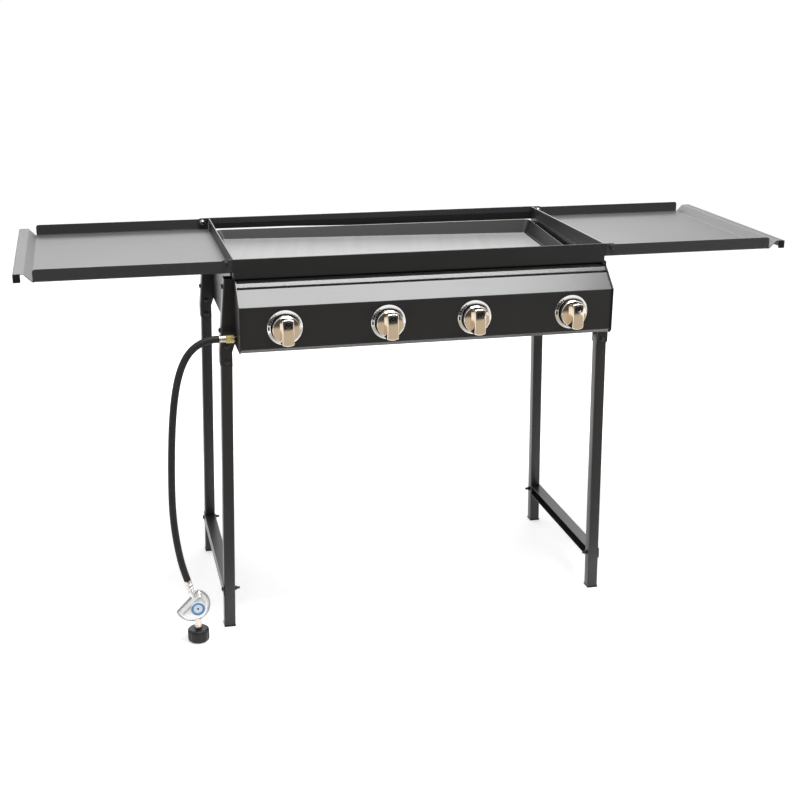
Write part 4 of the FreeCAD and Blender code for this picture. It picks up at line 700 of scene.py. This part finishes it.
# Shelves and legs
def make_shelf(s, side):
    """Tray: a surface with upturned flanges at front and back, whose outer end climbs to a hooked lip."""
    top, bend, run_out, reach, sheet, gap = 835.5, 1.6, 818.0, 856.0, 1.2, 0.8
    flange_z, corner, lip_run, lip_rise, lip_fall = 860.5, 6.0, 17.0, 17.0, 18.0
    tab_run, tab_inset, tab_drop = 15.0, 1.3, 1.0
    hinge_gap, flange_gap, flange_short, lip_short = 0.3, 3.0, 0.5, 4.0
    flat_end, crest = run_out - lip_short, top + lip_rise
    y_front, y_back = FRONT_Y - gap, BACK_Y + gap
    hook = rounded_line([(HALF + hinge_gap, top), (flat_end, top), (run_out, top), (run_out + lip_run, crest),
                         (reach, crest), (reach, crest - lip_fall)], [0, 6, 6, 2.4])
    hook[:, 0] *= s
    lip = hook[np.abs(hook[:, 0]) > flat_end - 0.1]
    tray = Shape().add(along_y(hook, (y_front + bend, y_back - bend)))
    heights = flange_z - corner + corner * np.sin(np.linspace(0, np.pi / 2, 8))
    for y, way in ((y_front, 1), (y_back, -1)):
        fold = rounded_line([(y + way * bend, top), (y, top), (y, heights[0])], [bend])[:-1]
        line = np.vstack([fold, np.stack([np.full(len(heights), y), heights], -1)])
        above = np.clip(line[:, 1] - heights[0], 0, corner)
        cut = corner - np.sqrt(np.clip(corner ** 2 - above ** 2, 0, None))
        inner_end = np.full(len(line), HALF + flange_gap)
        ends = np.stack([inner_end, flat_end - cut, run_out - flange_short - cut])
        tray.add(np.stack([s * ends, *(np.broadcast_to(v, ends.shape) for v in line.T)], -1))
        tray.add(along_y(lip, (y - way * sheet, y + way * bend)))
    make_piece(f"{side}_shelf_pan", tray, SHELF_COAT, f"{side}_shelf", [f"{side}_shelf_tray"],
               sheet, UP, 0.25)
    inner, outer = s * (reach - tab_run), s * (reach - tab_inset)
    low, high = top - tab_drop, crest - tab_inset
    outline = [(inner, low), (outer, low), (outer, high), (inner, high)]
    outline = rounded_loop(outline, [2.5, 0.3, 0.3, 0.3], 4)
    tabs = Shape()
    for y in (y_front - sheet, y_back):
        tabs.add_bar(along_y(outline, (y, y + sheet)))
    # Painted shade: the end tabs under the lips are near black, standing in for the shade under them.
    make_piece(f"{side}_shelf_end_tabs", tabs, PAINTED_SHADE_COAT, f"{side}_shelf", (), edge=0.2)


def make_leg(s, side, end, y):
    """Square tube with rounded corners: loops up its leaning axis, closing over a half round at the pivot."""
    half, corner, foot = 12.5, 3.2, 4.0
    climb = np.linspace(0, np.pi / 2, 9)
    z = np.concatenate([[foot, 200.0, 420.0], PIVOT_Z + half * np.sin(climb)])
    wide = np.concatenate([np.full(3, half), np.maximum(half * np.cos(climb), 0.02)])
    x, dy = box_loops(wide, np.full(len(z), half), np.minimum(corner, wide))
    lean = s * (LEG_X + (PIVOT_Z - np.minimum(z, PIVOT_Z)) * SPLAY)
    loops = np.stack([x + lean[:, None], dy + y, np.broadcast_to(z[:, None], x.shape)], -1)
    tube = Shape().add_bar(loops)
    make_piece(f"{side}_{end}_leg_tube", tube, LEG_COAT, f"{side}_legs", [f"{side}_{end}_leg"],
               sharp=50)


def make_leg_brackets(s, side):
    """Tapered channels: a U of web and two cheeks with round folds, whose web moves out with the drop."""
    half, fold, sheet = 15.1, 3.5, 2.0
    top, bottom, knee, chamfer, waist = 816.0, 623.5, 655.5, 627.5, 673.0
    z = np.array([top, 815.0, waist, 662.0, knee, 652.0, chamfer, 625.3, bottom])
    web = np.interp(z, [bottom, chamfer, knee, top], [441.4, 445.4, 445.4, 431.5])
    inner = np.interp(z, [knee, waist], [418.5, PLATE_OUT])
    t = np.linspace(0, np.pi / 2, 7)
    dx = np.concatenate([[0.0], fold * np.sin(t) - fold, fold * np.cos(t) - fold, [0.0]])
    dy = np.concatenate([[-half], fold - fold * np.cos(t) - half, half - fold + fold * np.sin(t), [half]])
    at_plate = np.concatenate([[1.0], np.zeros(2 * len(t)), [1.0]])
    x = (1 - at_plate) * (web[:, None] + dx) + at_plate * inner[:, None]
    brackets = Shape()
    for y in LEG_Y:
        brackets.add(np.stack([s * x, np.broadcast_to(y + dy, x.shape),
                               np.broadcast_to(z[:, None], x.shape)], -1))
    make_piece(f"{side}_leg_channels", brackets, BLACK_COAT, "housing", [f"{side}_leg_brackets"],
               sheet, (s, 0, 0), 0.3)


# Knobs and their bezels
def rounded_profile(half, height, radius, draft, flat):
    """Profile of a bar from foot to foot, up the wall, round the edge and over the top: (place, height)."""
    wall = np.stack([np.linspace(half, half - draft, 5), np.linspace(0, height - radius, 5)], -1)
    t = np.linspace(0, np.pi / 2, 8)[1:]
    arc = np.stack([half - draft - radius + radius * np.cos(t), height - radius + radius * np.sin(t)], -1)
    side = np.vstack([wall, arc])
    across = np.linspace(side[-1, 0], -side[-1, 0], 2 * flat + 1)[1:-1]
    top = np.stack([across, np.full(len(across), height)], -1)
    return np.vstack([side, top, side[::-1] * (-1, 1)])


def make_knob(i, x):
    """Dark collar, a domed cap, and a bar: the product of two rounded profiles, crowned, with an eye. The eye
    is a ridged near-black disc, a painted reflection that stands for the dark cup in the bar.
    """
    radius, gap, face, seat, top, cap = 29.2, 5.0, 21.0, 13.0, 46.0, 5.0
    reach, tail, half_wide, draft = 28.6, 30.4, 14.0, 1.5
    rim_round, swell, eye_z, eye_r = 1.8, 1.5, 14.6, 9.2
    cross_crown, long_crown, cross_round, long_round, long_draft = 0.9, 1.8, 2.0, 3.0, 0.6
    centre, body = (x, PANEL_Y, KNOB_Z), f"knob_{i}"
    foot = face - cap
    wall = [(0, gap), (radius - 1.6, gap), (radius - 0.6, gap + 1), (radius - 0.6, foot), (0, foot)]
    collar = Shape().add_turned(wall, centre, FRONT)
    make_piece(f"{body}_collar", collar, BLACK_PLASTIC, body, (), sharp=40)
    t = np.linspace(0, np.pi / 2, 7)
    dome_r = radius - rim_round
    rim = np.stack([dome_r + rim_round * np.cos(t), face - swell - rim_round + rim_round * np.sin(t)], -1)
    r = np.linspace(dome_r, 0, 8)[1:]
    dome = np.stack([r, face - swell + swell * (1 - (r / dome_r) ** 2)], -1)
    profile = np.vstack([[(0, foot), (radius - 0.4, foot), (radius, foot + 0.4)], rim, dome])
    knob = Shape().add_turned(profile, centre, FRONT, 96)
    rise = top - seat
    across = rounded_profile(half_wide, rise, cross_round, draft, flat=10)
    length = rounded_profile(reach, rise, long_round, long_draft, flat=20)
    px, pz = across[:, 0][None, :], length[:, 0][:, None]
    deep = across[:, 1][None, :] * length[:, 1][:, None] / rise
    pz = pz * np.sqrt(1 - (px / radius) ** 2)
    pz = np.where(pz < 0, pz * tail / reach, pz)
    px = np.broadcast_to(px, pz.shape)
    crown = cross_crown * (px / half_wide) ** 2 + long_crown * (pz / radius) ** 2
    d = seat + deep - (deep / rise) ** 2 * crown
    for depth in (d, np.full(px.shape, seat)):
        knob.add(np.stack([x + px, PANEL_Y - depth, KNOB_Z + pz], -1))
    make_piece(f"{body}_grip", knob, KNOB_CHROME, body, [body], sharp=55)
    # Painted reflection: a near-black ridged disc stands in for the dark reflection in the bar's cup.
    ridges = [(0, -3.0), (eye_r, -3.0), (eye_r, -0.7), (eye_r - 0.5, -0.2), (7.2, -0.4), (6.7, 0.0),
              (5.8, 0.0), (5.3, -0.5), (3.4, -0.5), (2.9, 0.1), (1.9, 0.3), (0, 0.4)]
    dark_eye_painted_reflection = Shape().add_turned(ridges, (x, PANEL_Y - top, KNOB_Z + eye_z), FRONT, 48)
    make_piece(f"{body}_inlay", dark_eye_painted_reflection, DARK_ENAMEL_AND_PAINTED_REFLECTION, body, (), sharp=40)


def make_bezels():
    """Turned rings whose face is an arc from the panel to an inner lip, and dial marks on their left."""
    outside, inside, face_round, foot = 37.4, 30.2, 26.0, 0.9
    mark_in, mark_out, proud, ink = 32.6, 36.2, 0.1, 0.12
    t = np.radians(np.linspace(36, 20, 6))
    face_r = outside - face_round * (math.sin(t[0]) - np.sin(t))
    face_d = foot + face_round * (np.cos(t) - math.cos(t[0]))
    profile = np.vstack([[(inside, 0), (outside, 0)], np.stack([face_r, face_d], -1),
                         [(inside, face_d[-1] - 0.6)]])
    spans = [(174, 187), (162, 168), (152, 157), (143, 147), (134, 138), (125, 128)]
    rings, marks = Shape(), Shape()
    for x in KNOB_X:
        rings.add(turned(profile, (x, PANEL_Y, KNOB_Z), FRONT, 96), close_rows=True, close_cols=True)
        for span in spans:
            turn = np.radians(np.linspace(*span, 5))[:, None]
            r = np.linspace(mark_in, mark_out, 5)[None, :]
            y = np.broadcast_to(PANEL_Y - np.interp(r, face_r[::-1], face_d[::-1]) - proud, (5, 5))
            marks.add(np.stack([x + r * np.cos(turn), y, KNOB_Z + r * np.sin(turn)], -1))
    make_piece("bezel_rings", rings, CHROME, "housing", ["knob_bezels"], sharp=25)
    make_piece("bezel_marks", marks, DARK_ENAMEL_AND_PAINTED_REFLECTION, "housing", (), ink, FRONT)


def make_pan():
    """Pan: rounded rectangles down the flared wall, round the bend and in over the floor, then tipped.

    The depth grows evenly from left to right, and the rim falls a little the same way."""
    back_y, back_z, tilt = 275.25, 832.0, math.atan(0.07)
    wide, long_, deep, plate, flare, bend = 403.0, 230.5, 29.2, 3.0, math.radians(31), 3.0
    rim_rise, rim_fall, floor_fall, corner_r, least_r = 3.4, 0.0035, 0.0147, 15.0, 3.0
    floor = deep - plate
    start = plate / math.cos(flare)
    foot = rounded_line([(start, 0), (start + floor * math.tan(flare), -floor), (start + 60, -floor)],
                        [bend], 8)
    inset, level = np.vstack([foot[:-1], [(40, -floor), (120, -floor), (230, -floor)]]).T
    half_y = np.maximum(long_ - inset, 0.4)
    corner = np.minimum(np.maximum(corner_r - inset * 0.5, least_r), half_y - 0.2)
    x, v = box_loops(wide - inset, half_y, corner, 7)
    v = v - long_
    w = level[:, None] * (1 + floor_fall / floor * x) + rim_rise - rim_fall * x
    y = back_y + v * math.cos(tilt) - w * math.sin(tilt)
    z = back_z + v * math.sin(tilt) + w * math.cos(tilt)
    pan = Shape().add(np.stack([x, y, z], -1), close_cols=True)
    rows, cols = x.shape
    pan.faces.append((np.arange(cols) + (rows - 1) * cols).tolist())
    make_piece("griddle_plate", pan, PAN_STEEL, "griddle", ["griddle_pan"], plate, UP, 0.5)


# Regulator: the stem's line, the disc set off from it, and the end of the hose above
STEM_X, REGULATOR_Y, OUTLET_Z = -520.58, -214.75, 85.0
DISC_X, DISC_Z, DISC_R, DISC_CHORD = STEM_X - 10.0, OUTLET_Z + 3.0, 39.4, 17.7
DIAL_Y, DIAL_Z = REGULATOR_Y - 16, OUTLET_Z + 1.5


def regulator_loops(levels, steps=96):
    """Disc cut by a chord at its upper left: the smooth least of two radii, at levels of (inset, depth)."""
    t = np.linspace(0, 2 * np.pi, steps, endpoint=False)
    inset, depth = (v[:, None] for v in np.asarray(levels, float).T)
    chord = (DISC_CHORD - inset) / np.maximum(np.cos(t - np.radians(135)), 0.05)
    r = ((DISC_R - inset) ** -18.0 + chord ** -18.0) ** (-1 / 18)
    y = np.broadcast_to(REGULATOR_Y + depth, r.shape)
    return np.stack([DISC_X + r * np.cos(t), y, DISC_Z + r * np.sin(t)], -1)


def make_regulator():
    """Two lofted halves in a rolled rim, an outlet and an inlet stem, and a turned dial on the cover."""
    lid = [(3.4, 0.1), (3.4, -3), (4.6, -3.8), (5.4, -5.5), (7.6, -12), (8.8, -14.4), (10.6, -15.6),
           (13, -16)]
    bowl = [(3, -0.1), (3, 3), (4.4, 3.8), (5.2, 5.5), (8.6, 15.5), (10, 18.4), (12, 19.6), (14, 20)]
    rim = [(4, 3), (1.2, 3), (0.3, 2), (0, 0), (0.3, -2), (1.2, -3), (4, -3)]
    spout = [(0, 20), (6.5, 20), (6.5, 25), (8.2, 26), (8.2, 33), (6.5, 34), (6.5, 64), (0, 64)]
    stem = [(0, 55), (7.5, 55), (7.5, 39.5), (8.4, 38.8), (8.4, 34), (7.5, 33.2), (7.5, 23.5), (11, 23.5),
            (11, 19.5), (0, 19.5)]
    plate = [(0, -1), (16, -1), (16, 3.2), (15.5, 3.8), (15, 4), (12.4, 4), (11.9, 2.8), (0, 2.8)]
    band = [(15.3, 3.95), (15, 4.12), (12.4, 4.12), (11.9, 2.95), (10.1, 2.95), (10, 2.8), (11.9, 2.8),
            (12.4, 4)]
    hub = [(0, 2.6), (2.1, 2.6), (2.1, 3.3), (1.5, 3.5), (0, 3.5)]
    centre = (STEM_X, DIAL_Y, DIAL_Z)
    cover = Shape().add_bar(regulator_loops(lid))
    casting = Shape().add_bar(regulator_loops(bowl)).add_turned(spout, *hose_end(), 40)
    rolled = Shape().add(regulator_loops(rim), close_rows=True, close_cols=True)
    post = Shape().add_turned(stem, (STEM_X, REGULATOR_Y, 0), UP, 48)
    ring = Shape().add(turned(band, centre, FRONT), close_rows=True, close_cols=True)
    dial, middle = (Shape().add_turned(outline, centre, FRONT) for outline in (plate, hub))
    rows = [("regulator_lid", cover, DIE_CAST, ["regulator_cover"], "die_cast", 60),
            ("regulator_bowl", casting, DIE_CAST, ["regulator_body"], "die_cast", 50),
            ("regulator_rim", rolled, ROLLED_RIM, (), "die_cast", 60),
            ("regulator_stem", post, NICKEL, (), "valve_brass", 40),
            ("dial_plate", dial, DIAL_PALE, ["regulator_dial"], "dial_plastic", 45),
            ("dial_ring", ring, DIAL_BLUE, (), "dial_plastic", 45),
            ("dial_hub", middle, DARK_ENAMEL_AND_PAINTED_REFLECTION, (), "dial_plastic", 45)]
    return [make_piece(name, shape, finish, "housing", stands_for, sharp=sharp)
            for name, shape, finish, stands_for, slot, sharp in rows]


def make_coupling_nut():
    """Moulded hand nut: a barrel with shallow flutes that fade at its rounded edges, and a threaded mouth."""
    wide, tall, round_low, round_high, bore_r, bore, thread = 24.2, 30.0, 7.0, 6.0, 16.6, 18, 0.5
    flute_count, flute_share, flute_from, flute_full = 10, 0.05, 17.4, 23.0
    t = np.linspace(0, np.pi / 2, 7)
    low = np.stack([wide + round_low * (np.sin(t) - 1), round_low * (1 - np.cos(t))], -1)
    high = np.stack([wide + round_high * (np.cos(t) - 1), tall + round_high * (np.sin(t) - 1)], -1)
    mouth = np.stack([bore_r - thread * (np.arange(bore) % 2), np.linspace(bore, 1, bore)], -1)
    profile = np.vstack([[(0, bore)], mouth, low, high, [(9.5, tall), (9.2, tall - 1.5), (0, tall - 1.5)]])

    def flutes(r, turn):
        """Scale of the radius: a row of narrow dips, deepest at the full radius."""
        depth = np.clip((r - flute_from) / (flute_full - flute_from), 0, 1) ** 2
        return 1 - flute_share * depth * (0.5 + 0.5 * np.cos(flute_count * turn)) ** 3

    nut = Shape().add_turned(profile, (STEM_X, REGULATOR_Y, 0), UP, 120, flutes)
    make_piece("hand_nut", nut, BLACK_PLASTIC, "cylinder_coupling", ["coupling_nut"],
               sharp=50)


def make_inlet():
    """Inlet at the side plate: a dark neck, a hexagon nut cut by cones at its ends, and a crimped sleeve."""
    y, z = HOSE_START[1:]
    nut_x, sleeve_x, half_flats = -417.5, -435.0, 8.5
    neck = Shape().add_turned([(0, 0), (7, 0), (7, 6), (0, 6)], (-PLATE_OUT, y, z), LEFT, 40)
    make_piece("inlet_neck", neck, BLACK_PLASTIC, "housing", (), sharp=40)

    def hexagon(r, turn):
        """Scale of the radius that cuts it back to the six flats."""
        flat = half_flats / np.cos(turn % (np.pi / 3) - np.pi / 6)
        return np.minimum(flat / np.maximum(r, 0.001), 1)

    outline = [(0, 0), (8.6, 0), (10, 1.3), (10, 16.2), (8.6, 17.5), (0, 17.5)]
    nut = Shape().add_turned(outline, (nut_x, y, z), LEFT, 96, hexagon)
    make_piece("inlet_nut", nut, BRASS, "housing", ["gas_inlet"], sharp=25)
    crimps = [(0, 0), (7, 0), (7.6, 0.6), (7.6, 4.4), (7, 5), (7, 6), (7.6, 6.6), (7.6, 10), (7, 10.6),
              (7, 11.6), (7.6, 12.2), (7.6, 15), (0, 15)]
    sleeve = Shape().add_turned(crimps, (sleeve_x, y, z), LEFT, 48)
    return make_piece("inlet_sleeve", sleeve, ZINC, "housing", ["inlet_ferrule"], sharp=40)


# Gas hose: its heading below the level, in degrees, and its length on each run, as in the part's source
HOSE_DIAMETER = 15.6
HOSE_START, HOSE_DRIFT = (-449.0, -205.75, 695.5), 9.0
HOSE_RUNS = [(0, 13.1), (10, 13.1), (20, 13.1), (30, 13.1), (40, 13.1), (50, 13.5), (59, 17), (67, 22),
             (74, 30), (79.5, 42), (83.5, 56), (86.2, 60), (87.3, 60), (88.8, 58), (92.4, 52), (96.4, 52),
             (100.2, 46), (106.5, 31)]
FERRULE, OUTLET = 20.0, 47.0


def hose_route():
    """Corners of the route. The runs are scaled to the fall from the inlet to the end of the outlet."""
    heading, run = np.array(HOSE_RUNS).T
    heading = np.radians(heading)
    fall = HOSE_START[2] - OUTLET_Z
    drop = run * np.sin(heading)
    scale = (fall - (FERRULE + OUTLET) * np.sin(heading[-1])) / drop.sum()
    steps = np.stack([-run * np.cos(heading), -HOSE_DRIFT * drop / fall, -drop], -1) * scale
    return np.vstack([HOSE_START, HOSE_START + np.cumsum(steps, 0)])


def hose_end():
    """Last point of the hose, and the way that it points there."""
    route = hose_route()
    lead = route[-1] - route[-2]
    return route[-1], lead / np.linalg.norm(lead)


def make_hose(fittings):
    """Smooth spline on the route's own points, with a round section."""
    route = hose_route() * MM
    curve = bpy.data.curves.new("gas_hose_line", "CURVE")
    curve.dimensions = "3D"
    curve.bevel_depth = HOSE_DIAMETER / 2 * MM
    curve.bevel_resolution = 7
    curve.resolution_u = 10
    curve.use_fill_caps = True
    spline = curve.splines.new("NURBS")
    spline.points.add(len(route) - 1)
    spline.points.foreach_set("co", np.column_stack([route, np.ones(len(route))]).ravel())
    spline.order_u = 3
    spline.use_endpoint_u = True
    hose = bpy.data.objects.new("gas_hose_line", curve)
    scene.collection.objects.link(hose)
    curve.materials.append(HOSE_RUBBER)
    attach(hose, "housing")
    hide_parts("gas_hose")


make_camera()
make_lights()
make_world()
make_floor()
make_reflection_cards()
scene.view_settings.view_transform = "Standard"
dress_nodes()
make_frame()
make_cap_nuts()
make_control_panel()
make_bezels()
make_pan()
make_coupling_nut()
make_hose([make_inlet(), NODES["regulator_ferrule"], *make_regulator()])
for sign, side_name in SIDES.items():
    make_shelf(sign, side_name)
    make_leg_brackets(sign, side_name)
    for leg_end, leg_y in zip(("front", "rear"), LEG_Y):
        make_leg(sign, side_name, leg_end, leg_y)
for number, knob_x in enumerate(KNOB_X, start=1):
    make_knob(number, knob_x)

bpy.context.view_layer.update()
